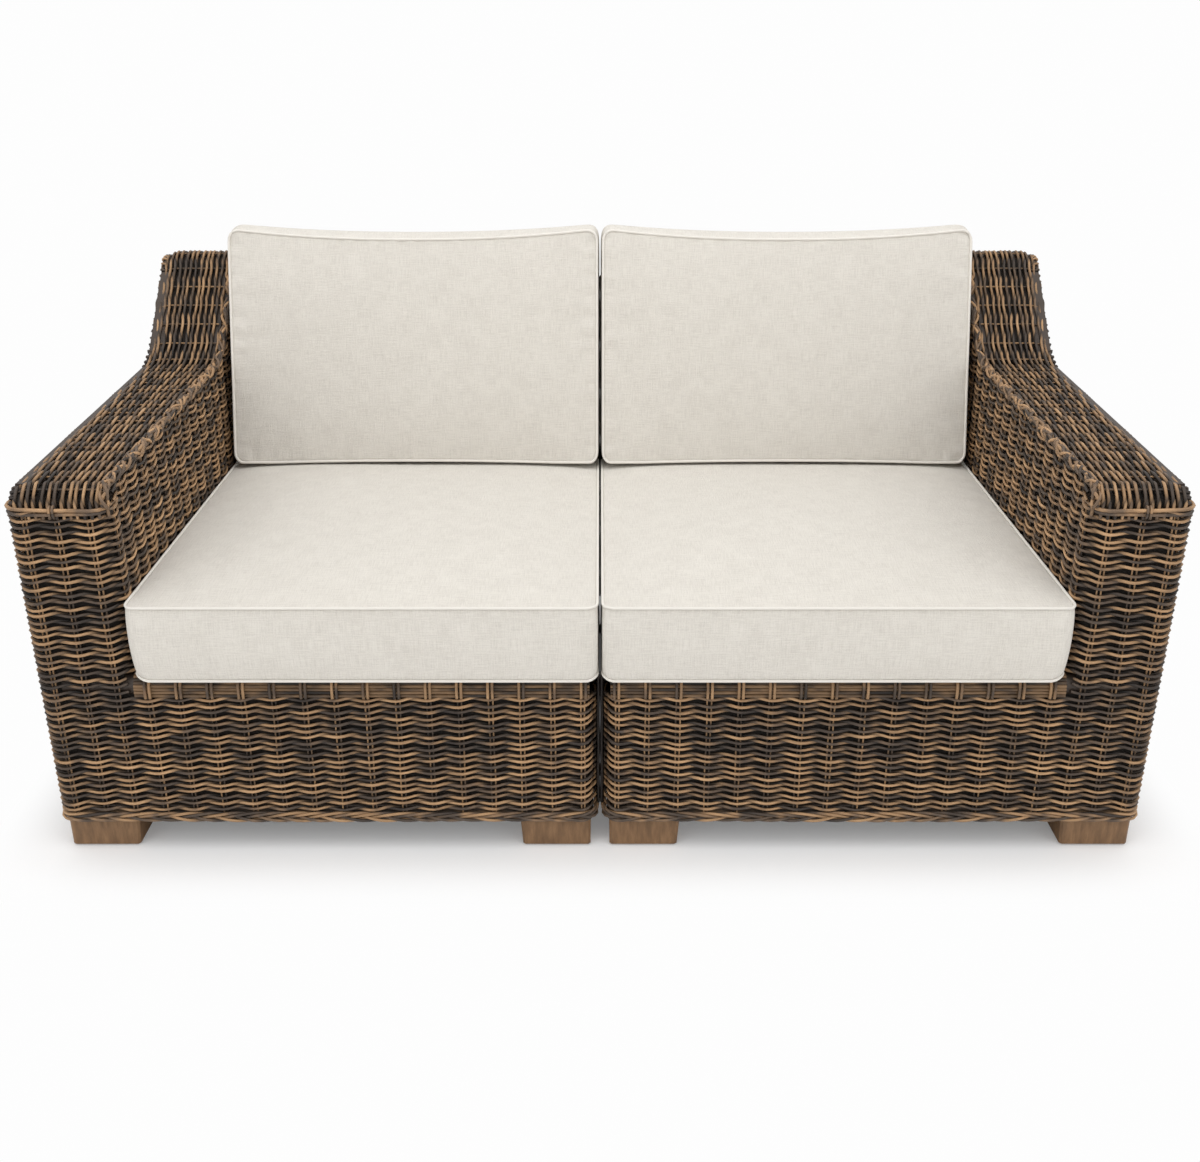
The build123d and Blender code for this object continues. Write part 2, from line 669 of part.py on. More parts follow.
# Link plates under the facing rails: a tongue on one module slides into a jaw on the other
tongue_top_z = foot_height - link_plate - link_play
tongue_low_z = tongue_top_z - link_plate
link_ys = (front_y + link_place, rear_y - link_place - link_width)
tongues = []
jaws = []
for link_y in link_ys:
    with BuildPart() as tongue:
        add(slab(-link_reach, inner_x + link_root, link_y, link_y + link_width, tongue_low_z, tongue_top_z))
        add(slab(skin_in_x, inner_x + link_root, link_y, link_y + link_width, tongue_top_z, foot_height))
    tongues.append(tongue.part)
    jaw_low_z = tongue_low_z - link_play - link_plate
    with BuildPart() as jaw:
        add(slab(skin_in_x, inner_x + link_root, link_y, link_y + link_width, jaw_low_z, foot_height))
        add(slab(skin_in_x, inner_x + link_reach, link_y, link_y + link_width,
                 tongue_low_z - link_play, tongue_top_z + link_play), mode=Mode.SUBTRACT)
    jaws.append(jaw.part)
with BuildPart() as left_link:
    for tongue in tongues:
        mirror(tongue, about=Plane.YZ)
left_link.part.label = "left_link_tongue"
export_step(left_link.part, "parts/left_link_tongue.step")
with BuildPart() as right_link:
    for jaw in jaws:
        add(jaw)
right_link.part.label = "right_link_jaw"
export_step(right_link.part, "parts/right_link_jaw.step")

# Seat cushion: a box cushion with drawn-in welts, a crowned top and a zip across its rear
seat_x0 = cushion_side_gap
seat_x1 = arm_x - cushion_arm_gap
seat_y0 = front_y - cushion_overhang
seat_y1 = face_y(seat_deck_z) - cushion_back_gap
seat_low_z = seat_deck_z + rest_gap
seat_welt_z = seat_low_z + seat_thickness
seat_middle = ((seat_x0 + seat_x1) / 2, (seat_y0 + seat_y1) / 2)
seat_size = (seat_x1 - seat_x0, seat_y1 - seat_y0)


def cushion_ring(plane, middle, size, inset, radius):
    """One rounded outline of a cushion, drawn in by inset."""
    with BuildSketch(plane) as ring:
        with Locations(middle):
            RectangleRounded(size[0] - 2 * inset, size[1] - 2 * inset, radius)
    return ring.sketch


def crowned(levels, plane_at, middle, size, radius):
    """Solid through a cushion's outlines: levels are pairs of inset and height."""
    with BuildPart() as pad:
        for low, high in zip(levels, levels[1:]):
            for inset, height in (low, high):
                add(cushion_ring(plane_at(height), middle, size, inset, radius))
            loft(ruled=True)
    return pad.part


bulge_shares = (0.0, 0.55, 0.9, 1.0, 0.9, 0.55, 0.0)


def bulged_levels(low, high):
    """Insets and heights up a boxing that swells between its two welts."""
    steps = len(bulge_shares) - 1
    return [
        (draw_in * (1 - share), low + (high - low) * place / steps)
        for place, share in enumerate(bulge_shares)
    ]


seat_levels = [(under_draw_in, seat_low_z)]
seat_levels += bulged_levels(seat_low_z + under_draw_rise, seat_welt_z)
seat_levels += [
    (inset, seat_welt_z + rise) for inset, rise in zip(seat_crown_insets[1:], seat_crown_rises[1:])
]
seat_core_low_z = seat_low_z + wrap_batting
seat_core_high_z = seat_welt_z - wrap_batting / 2
zip_z = (seat_low_z + under_draw_rise + seat_welt_z) / 2
zip_length = seat_size[0] - 2 * zip_margin
zip_x0 = seat_x0 + zip_margin
zip_floor_y = seat_y1 - zip_depth


def rounded_core(plane, width, depth, height):
    """Foam block with rounded upright edges."""
    with BuildPart() as core:
        with BuildSketch(plane):
            RectangleRounded(width, depth, core_corner_r)
        extrude(amount=height)
    return core.part


core_shrink = 2 * wrap_batting + 2 * draw_in
seat_core = rounded_core(
    Plane((seat_middle[0], seat_middle[1], seat_core_low_z)),
    seat_size[0] - core_shrink,
    seat_size[1] - core_shrink,
    seat_core_high_z - seat_core_low_z,
)
write_pair("seat_cushion_core", [seat_core])

with BuildPart() as seat_cover:
    add(crowned(seat_levels, lambda z: Plane.XY.offset(z), seat_middle, seat_size, seat_corner_r))
    add(seat_core, mode=Mode.SUBTRACT)
    add(slab(zip_x0, zip_x0 + zip_length, zip_floor_y, seat_y1 + zip_depth,
             zip_z - zip_width / 2, zip_z + zip_width / 2), mode=Mode.SUBTRACT)
write_pair("seat_cushion_cover", [seat_cover.part])

seat_tape = slab(zip_x0, zip_x0 + zip_length, zip_floor_y, zip_floor_y + zip_tape,
                 zip_z - zip_width / 2, zip_z + zip_width / 2)
write_pair("seat_cushion_zip", [seat_tape])

slider_half = zip_width / 2 - slider_play
with BuildPart() as seat_slider:
    slider_y0 = zip_floor_y + zip_tape + slider_play
    slider_x0 = zip_x0 + slider_play
    add(slab(slider_x0, slider_x0 + slider_length, slider_y0, slider_y0 + slider_thick,
             zip_z - slider_half, zip_z + slider_half))
    pull_x0 = slider_x0 + slider_length - pull_width
    add(slab(pull_x0, pull_x0 + pull_length, slider_y0 + slider_thick,
             slider_y0 + slider_thick + pull_thick, zip_z - pull_width / 2, zip_z + pull_width / 2))
write_pair("seat_zip_slider", [seat_slider.part])

# Back cushion: the same build leaning on the back, with its foot flat on the seat cushion


def seat_crown_rise(inset):
    """Height of the seat cushion's crown above its welt, this far in from its edge."""
    steps = list(zip(seat_crown_insets, seat_crown_rises))
    for (low, low_rise), (high, high_rise) in zip(steps, steps[1:]):
        if inset <= high:
            return low_rise + (high_rise - low_rise) * (inset - low) / (high - low)
    return seat_crown_rises[-1]


foot_front_y = face_y(seat_welt_z) - (back_thickness + back_crown_rises[0]) / math.cos(lean)
back_foot_z = seat_welt_z + seat_crown_rise(seat_y1 - foot_front_y) + back_rest_gap
lean_plane = Plane(
    origin=(0, face_y(seat_deck_z), seat_deck_z),
    x_dir=(1, 0, 0),
    z_dir=(0, -math.cos(lean), math.sin(lean)),
)
back_rear_n = back_rest_gap
back_front_n = back_rear_n + back_thickness
back_v0 = (back_foot_z - seat_deck_z - back_front_n * math.sin(lean)) / math.cos(lean)
back_v1 = (cushion_top_z - seat_deck_z - back_front_n * math.sin(lean)) / math.cos(lean)
back_middle = ((seat_x0 + seat_x1) / 2, (back_v0 + back_v1) / 2)
back_size = (seat_x1 - seat_x0, back_v1 - back_v0 + 2 * draw_in)
back_levels = [(under_draw_in, back_rear_n)]
back_levels += bulged_levels(back_rear_n + under_draw_rise, back_front_n)
back_levels += [
    (back_size[1] / 2 * share, back_front_n + rise)
    for share, rise in zip(back_crown_shares, back_crown_rises)
]
foot_plane = Plane.XY.offset(back_foot_z)
core_foot_plane = Plane.XY.offset(back_foot_z + wrap_batting)
back_zip_y = face_y(back_foot_z) - back_thickness / 2 / math.cos(lean)
back_zip_floor_z = back_foot_z + zip_depth

core_place = lean_plane.from_local_coords((*back_middle, back_rear_n + wrap_batting))
core_plane = Plane(origin=core_place, x_dir=lean_plane.x_dir, z_dir=lean_plane.z_dir)
core_size = (back_size[0] - core_shrink, back_size[1] - core_shrink)
with BuildPart() as back_core:
    add(rounded_core(core_plane, *core_size, back_thickness - 2 * wrap_batting))
    split(bisect_by=core_foot_plane, keep=Keep.TOP)
write_pair("back_cushion_core", [back_core.part])

with BuildPart() as back_cover:
    add(crowned(back_levels, lambda n: lean_plane.offset(n), back_middle, back_size, back_corner_r))
    split(bisect_by=foot_plane, keep=Keep.TOP)
    add(back_core.part, mode=Mode.SUBTRACT)
    add(slab(zip_x0, zip_x0 + zip_length, back_zip_y - zip_width / 2, back_zip_y + zip_width / 2,
             back_foot_z - zip_depth, back_zip_floor_z), mode=Mode.SUBTRACT)
write_pair("back_cushion_cover", [back_cover.part])

back_tape = slab(zip_x0, zip_x0 + zip_length, back_zip_y - zip_width / 2, back_zip_y + zip_width / 2,
                 back_zip_floor_z - zip_tape, back_zip_floor_z)
write_pair("back_cushion_zip", [back_tape])

with BuildPart() as back_slider:
    slider_z1 = back_zip_floor_z - zip_tape - slider_play
    slider_z0 = slider_z1 - slider_thick
    add(slab(slider_x0, slider_x0 + slider_length, back_zip_y - slider_half, back_zip_y + slider_half,
             slider_z0, slider_z1))
    add(slab(pull_x0, pull_x0 + pull_length, back_zip_y - pull_width / 2, back_zip_y + pull_width / 2,
             slider_z0 - pull_thick, slider_z0))
write_pair("back_zip_slider", [back_slider.part])
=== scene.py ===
# %% [markdown]
# This lesson dresses a patio loveseat: two mirrored wicker modules side by side, each with
# a loose seat cushion and a loose back cushion, on short wooden block feet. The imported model
# is loaded first, so that every strand and cushion below is made right where it belongs.
# Lengths are in metres, with Y to the rear and Z up.

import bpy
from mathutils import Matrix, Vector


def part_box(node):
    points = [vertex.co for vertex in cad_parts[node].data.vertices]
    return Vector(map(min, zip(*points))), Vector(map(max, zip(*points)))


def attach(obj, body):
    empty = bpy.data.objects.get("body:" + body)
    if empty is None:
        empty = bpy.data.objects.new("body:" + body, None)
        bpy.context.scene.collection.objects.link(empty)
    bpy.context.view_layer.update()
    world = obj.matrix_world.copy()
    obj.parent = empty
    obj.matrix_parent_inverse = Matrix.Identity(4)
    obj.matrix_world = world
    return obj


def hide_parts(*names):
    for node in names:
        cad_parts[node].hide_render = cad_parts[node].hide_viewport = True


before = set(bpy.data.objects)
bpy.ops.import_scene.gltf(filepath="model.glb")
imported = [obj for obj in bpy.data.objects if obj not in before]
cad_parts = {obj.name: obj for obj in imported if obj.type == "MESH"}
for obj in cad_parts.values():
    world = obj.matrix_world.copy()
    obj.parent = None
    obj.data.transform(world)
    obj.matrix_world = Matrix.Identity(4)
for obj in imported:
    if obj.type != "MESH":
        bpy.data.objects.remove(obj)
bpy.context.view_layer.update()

# %% [markdown]
# Numpy makes the long strands quickly: a weaver is hundreds of points, and a list of
# arrays is far lighter than thousands of calls to Blender's own tools.

# %% Imports and the loveseat's own sizes
import math

import bpy
import numpy as np
from mathutils import Vector

FRONT_Y, REAR_Y = -0.455, 0.475
INNER_X, OUTER_X, ARM_X = 0.007, 0.908, 0.748
FOOT_TOP, SKIRT_Z, DECK_Z = 0.057, 0.073, 0.330
LEDGE_Z, RAIL_Z = 0.302, 0.322
BAND_Z = 0.289
ARM_FRONT_Z, ARM_BEND_Z, BACK_TOP_Z = 0.647, 0.672, 0.850
NOSE_Z, ROLL_LOW_Z = 0.610, 0.800
CORNER_R, ARM_CORNER_R, NOSE_R = 0.028, 0.030, 0.037
LEG = 0.042
SIDE_RUN = REAR_Y - LEG - FRONT_Y - CORNER_R
ARM_RUN = OUTER_X - ARM_X - CORNER_R - ARM_CORNER_R
LEAN = math.radians(15.0)
ROLL_R = 0.025
SIDES = {"right": 1.0, "left": -1.0}


def face_y(z):
    """Y of the back's leaning front face at a height."""
    return REAR_Y - ROLL_R - (ROLL_R + math.sin(LEAN) * (BACK_TOP_Z - ROLL_R - z)) / math.cos(LEAN)


# %% [markdown]
# The camera stands where the photographer stood: a little above the back's height, looking
# down at the seat. Its focal length and tilt were worked out from the lines of the arms,
# which run to one vanishing point, and from the arms' width.

# %% Camera
CAMERA_BACK, CAMERA_HEIGHT = 1.898, 1.317
CAMERA_TILT, CAMERA_LENS = 23.4, 39.93

camera_data = bpy.data.cameras.new("camera")
camera_data.sensor_fit = "HORIZONTAL"
camera_data.sensor_width = 36.0
camera_data.lens = CAMERA_LENS
camera = bpy.data.objects.new("camera", camera_data)
camera.location = (0.0, FRONT_Y - CAMERA_BACK, CAMERA_HEIGHT)
camera.rotation_euler = (math.radians(90.0 - CAMERA_TILT), 0.0, 0.0)
bpy.context.scene.collection.objects.link(camera)
bpy.context.scene.camera = camera
bpy.context.scene.view_settings.view_transform = "Standard"
print("camera at", [round(value, 3) for value in camera.location], "tilted down", CAMERA_TILT)

# %% [markdown]
# Finishes are written as arithmetic. This small class wraps one socket of a shader, so that
# `1 - mask` or `grain * 0.3` adds the Math node that it stands for.


# %% A socket that can be added and multiplied
class Wire:
    """One output socket of a material, with arithmetic."""

    def __init__(self, tree, socket):
        self.tree = tree
        self.socket = socket

    def maths(self, operation, *values):
        node = self.tree.nodes.new("ShaderNodeMath")
        node.operation = operation
        for entry, value in zip(node.inputs, values):
            join(self.tree, value, entry)
        return Wire(self.tree, node.outputs[0])

    def __add__(self, other):
        return self.maths("ADD", self, other)

    def __radd__(self, other):
        return self.maths("ADD", other, self)

    def __sub__(self, other):
        return self.maths("SUBTRACT", self, other)

    def __rsub__(self, other):
        return self.maths("SUBTRACT", other, self)

    def __mul__(self, other):
        return self.maths("MULTIPLY", self, other)

    def __rmul__(self, other):
        return self.maths("MULTIPLY", other, self)

    def at_least(self, floor):
        return self.maths("MAXIMUM", self, floor)

    def at_most(self, roof):
        return self.maths("MINIMUM", self, roof)

    def ripple(self, pitch):
        """A sine along this length, one wave to each pitch."""
        turn = self * (2.0 * math.pi / pitch)
        return turn.maths("SINE", turn)


def join(tree, value, entry):
    """Put a number, a colour or a wire into a socket."""
    if isinstance(value, Wire):
        tree.links.new(value.socket, entry)
    else:
        entry.default_value = value


# %% [markdown]
# A finish is a material with one Principled surface. The class below holds the few nodes
# that come back in every finish: noise, stretched places, a colour between two colours, and
# a bump. Any other node comes from `Shader.node`, which takes its settings first and then
# what goes into its sockets. Each finish is then a few lines that read like a recipe.


# %% A material built node by node
class Shader:
    """A material with one Principled surface, built up node by node."""

    def __init__(self, name):
        self.material = bpy.data.materials.new(name)
        self.material.use_nodes = True
        self.tree = self.material.node_tree
        self.surface = self.tree.nodes["Principled BSDF"]

    def node(self, kind, out=0, settings=None, stops=None, **sockets):
        """A node, its settings first, then its sockets by name; out picks the output."""
        node = self.tree.nodes.new(kind)
        for name, value in (settings or {}).items():
            setattr(node, name, value)
        if stops:
            ramp = node.color_ramp
            while len(ramp.elements) < len(stops):
                ramp.elements.new(1.0)
            for element, (place, colour) in zip(ramp.elements, stops):
                element.position = place
                element.color = (*colour, 1.0)
        for name, value in sockets.items():
            key = int(name[1:]) if name[1:].isdigit() else name.replace("_", " ")
            join(self.tree, value, node.inputs[key])
        return Wire(self.tree, node.outputs[out])

    def mix(self, share, first, second):
        """A colour between two colours; a written colour is red, green and blue."""
        ends = [(*end, 1.0) if isinstance(end, tuple) else end for end in (first, second)]
        return self.node("ShaderNodeMix", out=2, settings={"data_type": "RGBA"},
                         _0=share, _6=ends[0], _7=ends[1])

    def noise(self, where, scale, detail=2.0, roughness=0.5):
        """Smooth noise, from 0 to 1."""
        return self.node("ShaderNodeTexNoise", settings={"noise_dimensions": "3D"},
                         Vector=where, Scale=scale, Detail=detail, Roughness=roughness)

    def places(self):
        """Places on the object, in metres."""
        return self.node("ShaderNodeTexCoord", out=3)

    def stretched(self, *scale):
        """Places on the object, stretched along its axes."""
        return self.node("ShaderNodeMapping", Vector=self.places(), Scale=scale)

    def carried(self, name):
        """A value that the mesh carries at its points."""
        return self.node("ShaderNodeAttribute", out=2, settings={"attribute_name": name})

    def split(self, vector):
        """The first two parts of a vector."""
        first = self.node("ShaderNodeSeparateXYZ", Vector=vector)
        return first, Wire(self.tree, first.socket.node.outputs[1])

    def combined(self, x, y, z=0.0):
        return self.node("ShaderNodeCombineXYZ", X=x, Y=y, Z=z)

    def vector(self, operation, *values, out=0):
        """Vector maths on one or two vectors."""
        entries = {f"_{number}": value for number, value in enumerate(values)}
        return self.node("ShaderNodeVectorMath", out=out, settings={"operation": operation}, **entries)

    def set(self, **sockets):
        for name, value in sockets.items():
            join(self.tree, value, self.surface.inputs[name.replace("_", " ")])

    def bump(self, height, strength, distance):
        self.set(Normal=self.node("ShaderNodeBump", Strength=strength, Distance=distance, Height=height))

    def paint(self, share, first, second, roughness):
        """The surface's colour, between two colours, and how rough it is."""
        self.set(Base_Color=self.mix(share, first, second), Roughness=roughness)


# %% [markdown]
# A strand carries its own map, called `Strand`: U is the metres run along it, and V is the
# turn around it plus the strand's number. So the finish knows which strand it is on. Real
# outdoor wicker of this kind is extruded in a mottled mix, and each weaver drifts from
# charcoal through brown to tan along its length.


# %% The strands' finish
def wicker_finish(name, tan_share):
    shader = Shader(name)
    strand = shader.node("ShaderNodeUVMap", settings={"uv_map": "Strand"})
    run, turn = shader.split(strand)
    number = turn.maths("FLOOR", turn)
    around = turn - number
    drift = shader.combined(run * 9.0, number * 7.31, number * 0.37)
    tone = shader.noise(drift, 1.0, 3.0, 0.66)
    own = shader.node("ShaderNodeTexWhiteNoise", settings={"noise_dimensions": "1D"}, W=number)
    shade = tone * 1.15 + own * 0.20 + (tan_share - 0.675)
    colour = shader.node("ShaderNodeValToRGB", Fac=shade, stops=[
        (0.30, (0.038, 0.029, 0.024)),
        (0.44, (0.092, 0.067, 0.050)),
        (0.50, (0.175, 0.115, 0.073)),
        (0.58, (0.375, 0.226, 0.118)),
        (0.82, (0.600, 0.370, 0.195)),
    ])
    lines = shader.combined(run * 34.0, around * 9.0 + number * 3.7)
    streak = shader.noise(lines, 1.0, 2.0, 0.6)
    dyed = shader.mix((streak - 0.5) * 1.6, colour, (0.026, 0.019, 0.015))
    # Painted shade: where a strand's Lit value is low, because it runs behind the others or lies in shade,
    # its colour is painted down towards near black.
    shader.paint(shader.carried("Lit"), (0.004, 0.003, 0.002), dyed, 0.42 + streak * 0.22)
    shader.surface.inputs["Specular IOR Level"].default_value = 0.3
    shader.bump(streak, 0.35, 0.0006)
    return shader.material


wicker = wicker_finish("wicker_strand", 0.535)
wicker_dark = wicker_finish("wicker_stake", 0.40)
print("finishes:", wicker.name, wicker_dark.name)

# %% [markdown]
# A route is a flat line with rounded corners, in the plan or in the side view, measured
# along its length. Its left hand always points out of the woven skin.


# %% Routes with rounded corners
class Route:
    """A line with rounded corners, read by the distance along it."""

    def __init__(self, corners, radii):
        corners = [np.array(corner, float) for corner in corners]
        places, hands = [corners[0]], [None]
        for before, corner, after, radius in zip(corners, corners[1:], corners[2:], radii):
            into = (corner - before) / np.linalg.norm(corner - before)
            away = (after - corner) / np.linalg.norm(after - corner)
            turn = into[0] * away[1] - into[1] * away[0]
            sign = 1.0 if turn > 0 else -1.0
            angle = math.acos(max(-1.0, min(1.0, float(into @ away))))
            start = corner - into * radius * math.tan(angle / 2)
            centre = start + sign * radius * np.array((-into[1], into[0]))
            heading = math.atan2(into[1], into[0])
            for part in np.linspace(0.0, angle, 13):
                way = heading + sign * part
                left = np.array((-math.sin(way), math.cos(way)))
                places.append(centre - sign * radius * left)
                hands.append(left)
        last = corners[-1] - corners[-2]
        last /= np.linalg.norm(last)
        places.append(corners[-1])
        hands.append(np.array((-last[1], last[0])))
        first = corners[1] - corners[0]
        first /= np.linalg.norm(first)
        hands[0] = np.array((-first[1], first[0]))
        self.places = np.array(places)
        self.hands = np.array(hands)
        steps = np.linalg.norm(np.diff(self.places, axis=0), axis=1)
        self.marks = np.concatenate(([0.0], np.cumsum(steps)))
        self.length = float(self.marks[-1])

    def at(self, run):
        """Places and outward directions at these distances."""
        place = np.stack([np.interp(run, self.marks, self.places[:, axis]) for axis in (0, 1)], axis=1)
        hand = np.stack([np.interp(run, self.marks, self.hands[:, axis]) for axis in (0, 1)], axis=1)
        hand /= np.linalg.norm(hand, axis=1)[:, None]
        return place, hand


def in_plan(places, z=0.0):
    """Points or directions of the plan, at one height or at a height each."""
    return np.column_stack((places, np.broadcast_to(z, len(places))))


def in_side_view(places, x=0.0):
    """Points or directions of the side view, at one X or at an X each."""
    return np.column_stack((np.broadcast_to(x, len(places)), places))


skirt = Route(
    [(OUTER_X, REAR_Y - LEG), (OUTER_X, FRONT_Y), (INNER_X, FRONT_Y), (INNER_X, REAR_Y),
     (OUTER_X, REAR_Y), (OUTER_X, REAR_Y - LEG)],
    [CORNER_R] * 4,
)
arm_plan = Route(
    [(OUTER_X, REAR_Y - LEG), (OUTER_X, FRONT_Y), (ARM_X, FRONT_Y), (ARM_X, REAR_Y)],
    [CORNER_R, ARM_CORNER_R],
)
side_corners = [
    (FRONT_Y, 0.590), (FRONT_Y, ARM_FRONT_Z), (FRONT_Y + 0.700, ARM_BEND_Z),
    (FRONT_Y + 0.886, BACK_TOP_Z), (REAR_Y, BACK_TOP_Z), (REAR_Y, ROLL_LOW_Z),
]
arm_side = Route(side_corners, [NOSE_R, 0.130, 0.030, 0.018])
back_side = Route(
    [(face_y(RAIL_Z), RAIL_Z), (face_y(BACK_TOP_Z), BACK_TOP_Z), (REAR_Y, BACK_TOP_Z), (REAR_Y, ROLL_LOW_Z)],
    [ROLL_R - 0.0005, ROLL_R - 0.0005],
)
print("skirt", round(skirt.length, 4), "arm plan", round(arm_plan.length, 4),
      "arm side", round(arm_side.length, 4), "back side", round(back_side.length, 4))

# %% [markdown]
# Every strand is a six-sided tube swept along a line. A bundle gathers the strands of one
# woven piece into one mesh, with the map for the finish and a second map that lays the
# strands side by side as strips, so that a baked picture can hold them.

# %% Strands gathered into one mesh
STRAND_SIDES = 6
LANE_WIDTH, MOST_LANES = 0.0045, 340


class Bundle:
    """The strands of one woven piece."""

    def __init__(self):
        self.points = []
        self.quads = []
        self.maps = []
        self.strips = []
        self.lit = []
        self.count = 0
        self.total = 0.0

    def strand(self, line, outward, radius, number, run=None, capped=False, lit=1.0):
        """Sweep a tube along a line; outward is the skin's direction at each point, and lit
        is 1 where light reaches the strand and less where it runs behind the others."""
        line = np.asarray(line, float)
        lit = np.broadcast_to(np.asarray(lit, float), (len(line),))
        outward = np.asarray(outward, float)
        radius = np.broadcast_to(np.asarray(radius, float), (len(line),)).copy()
        if len(line) < 2:
            return
        if run is None:
            run = np.concatenate(([0.0], np.cumsum(np.linalg.norm(np.diff(line, axis=0), axis=1))))
        ahead = np.gradient(line, axis=0)
        ahead /= np.linalg.norm(ahead, axis=1)[:, None] + 1e-12
        out = outward - (outward * ahead).sum(1)[:, None] * ahead
        out /= np.linalg.norm(out, axis=1)[:, None] + 1e-12
        if capped:
            line = np.concatenate((line[:1], line, line[-1:]))
            out = np.concatenate((out[:1], out, out[-1:]))
            ahead = np.concatenate((ahead[:1], ahead, ahead[-1:]))
            run = np.concatenate((run[:1], run, run[-1:]))
            radius = np.concatenate(([radius[0] * 0.05], radius, [radius[-1] * 0.05]))
            lit = np.concatenate((lit[:1], lit, lit[-1:]))
            line[0] -= ahead[0] * radius[1] * 0.3
            line[-1] += ahead[-1] * radius[-2] * 0.3
        side = np.cross(ahead, out)
        turn = math.pi + np.arange(STRAND_SIDES) * 2.0 * math.pi / STRAND_SIDES
        spoke = (np.cos(turn)[None, :, None] * out[:, None, :]
                 + np.sin(turn)[None, :, None] * side[:, None, :])
        points = line[:, None, :] + spoke * radius[:, None, None]
        rings = len(line)
        here = np.arange(rings - 1)[:, None] * STRAND_SIDES
        step = np.arange(STRAND_SIDES)[None, :]
        following = (step + 1) % STRAND_SIDES
        first = here + step
        second = here + following
        quads = np.stack((first, second, second + STRAND_SIDES, first + STRAND_SIDES), axis=2)
        self.quads.append(quads.reshape(-1, 4) + self.count)
        low = np.broadcast_to(step / STRAND_SIDES, first.shape)
        high = np.broadcast_to((step + 1) / STRAND_SIDES * 0.998, first.shape)
        start = np.broadcast_to(run[:-1, None], first.shape)
        end = np.broadcast_to(run[1:, None], first.shape)
        across = np.stack((start, start, end, end), axis=2)
        around = np.stack((low, high, high, low), axis=2)
        self.maps.append(np.stack((across, around + number), axis=3).reshape(-1, 2))
        length = abs(float(run[-1] - run[0]))
        self.strips.append(np.stack((self.total + np.abs(across - run[0]), around), axis=3).reshape(-1, 2))
        self.total += length + 0.004
        self.points.append(points.reshape(-1, 3))
        self.lit.append(np.repeat(lit, STRAND_SIDES))
        self.count += rings * STRAND_SIDES

    def build(self, side, name, node=None, finish=wicker, body="module", mirror=True):
        """One mesh from all the strands, mirrored for the left module. It rides on its side's
        body and stands in for its side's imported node."""
        name = f"{side}_{name}"
        points = np.concatenate(self.points)
        quads = np.concatenate(self.quads)
        maps = np.concatenate(self.maps)
        strips = np.concatenate(self.strips)
        if mirror and SIDES[side] < 0:
            points = points * np.array((-1.0, 1.0, 1.0))
            quads = quads[:, ::-1]
            maps = maps.reshape(-1, 4, 2)[:, ::-1].reshape(-1, 2)
            strips = strips.reshape(-1, 4, 2)[:, ::-1].reshape(-1, 2)
        mesh = bpy.data.meshes.new(name)
        mesh.vertices.add(len(points))
        mesh.vertices.foreach_set("co", points.ravel())
        mesh.loops.add(quads.size)
        mesh.loops.foreach_set("vertex_index", quads.ravel())
        mesh.polygons.add(len(quads))
        mesh.polygons.foreach_set("loop_start", np.arange(0, quads.size, 4))
        mesh.polygons.foreach_set("use_smooth", np.ones(len(quads), bool))
        mesh.update(calc_edges=True)
        lit = mesh.attributes.new("Lit", "FLOAT", "POINT")
        lit.data.foreach_set("value", np.concatenate(self.lit))
        strand_map = mesh.uv_layers.new(name="Strand")
        strand_map.data.foreach_set("uv", maps.ravel())
        lanes = max(8, min(MOST_LANES, int(math.sqrt(self.total / LANE_WIDTH))))
        lane_length = self.total / lanes * 1.001
        starts = strips.reshape(-1, 4, 2)[:, :, 0].min(axis=1)
        lane = np.floor(starts / lane_length)
        u = (strips.reshape(-1, 4, 2)[:, :, 0] - lane[:, None] * lane_length) / (lane_length * 1.05)
        v = (lane[:, None] + 0.06 + 0.88 * strips.reshape(-1, 4, 2)[:, :, 1]) / lanes
        bake_map = mesh.uv_layers.new(name="OFBake")
        bake_map.data.foreach_set("uv", np.stack((u, v), axis=2).ravel())
        mesh.materials.append(finish)
        piece = bpy.data.objects.new(name, mesh)
        bpy.context.scene.collection.objects.link(piece)
        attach(piece, f"{side}_{body}")
        if node:
            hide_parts(f"{side}_{node}")
        print(name, "strands", len(self.points), "faces", len(quads), "length", round(self.total, 1))


# %% [markdown]
# The weave itself is twined: each row is two weavers that turn round each other. One passes
# in front of a pair of stakes while the other passes behind it, and between the pairs they
# change places, the one that leaves the front going over the other. In and out that is a
# cosine, and up and down the strand hangs a little before the stakes, as the photograph
# shows. Each strand also notes how much light reaches it, for the finish.

# %% The weave's rhythm
WEAVER_R, STAKE_R = 0.0024, 0.0014
ROW_PITCH = 0.0115
STAKE_COUNT = 72
STAKE_PITCH = skirt.length / STAKE_COUNT
STAKE_START = 0.01
STAKE_HALF_PAIR = 0.0033
SWING = 0.0037
SKIN_DEPTH = 0.0042
HANG, CROSSING = 0.0027, 0.0013
STAKE_LIT = 0.8
STAKE_STEP = 0.05
STAKE_FOOT = SKIRT_Z - 0.004
STEP = STAKE_PITCH / 6.0
CORNER_SWELL = 0.0050
EDGE_TURN = 0.042


def twine(run, strand, pitch=STAKE_PITCH, start=STAKE_START):
    """How far one weaver of a pair stands out, how far it rises, and how well it is lit."""
    turn = math.pi * (run / pitch - start + strand)
    front, leaving = np.cos(turn), np.sin(turn)
    out = SWING * front
    rise = HANG * (leaving * leaving - 0.5) + CROSSING * leaving
    return out, rise, (0.52 + 0.80 * front).clip(0.05, 1.0)


def waver(run, row):
    """A hand weaver's unevenness, up and down."""
    return 0.00095 * np.sin(run * 17.0 + row * 2.4) + 0.00055 * np.sin(run * 49.0 + row * 5.1)


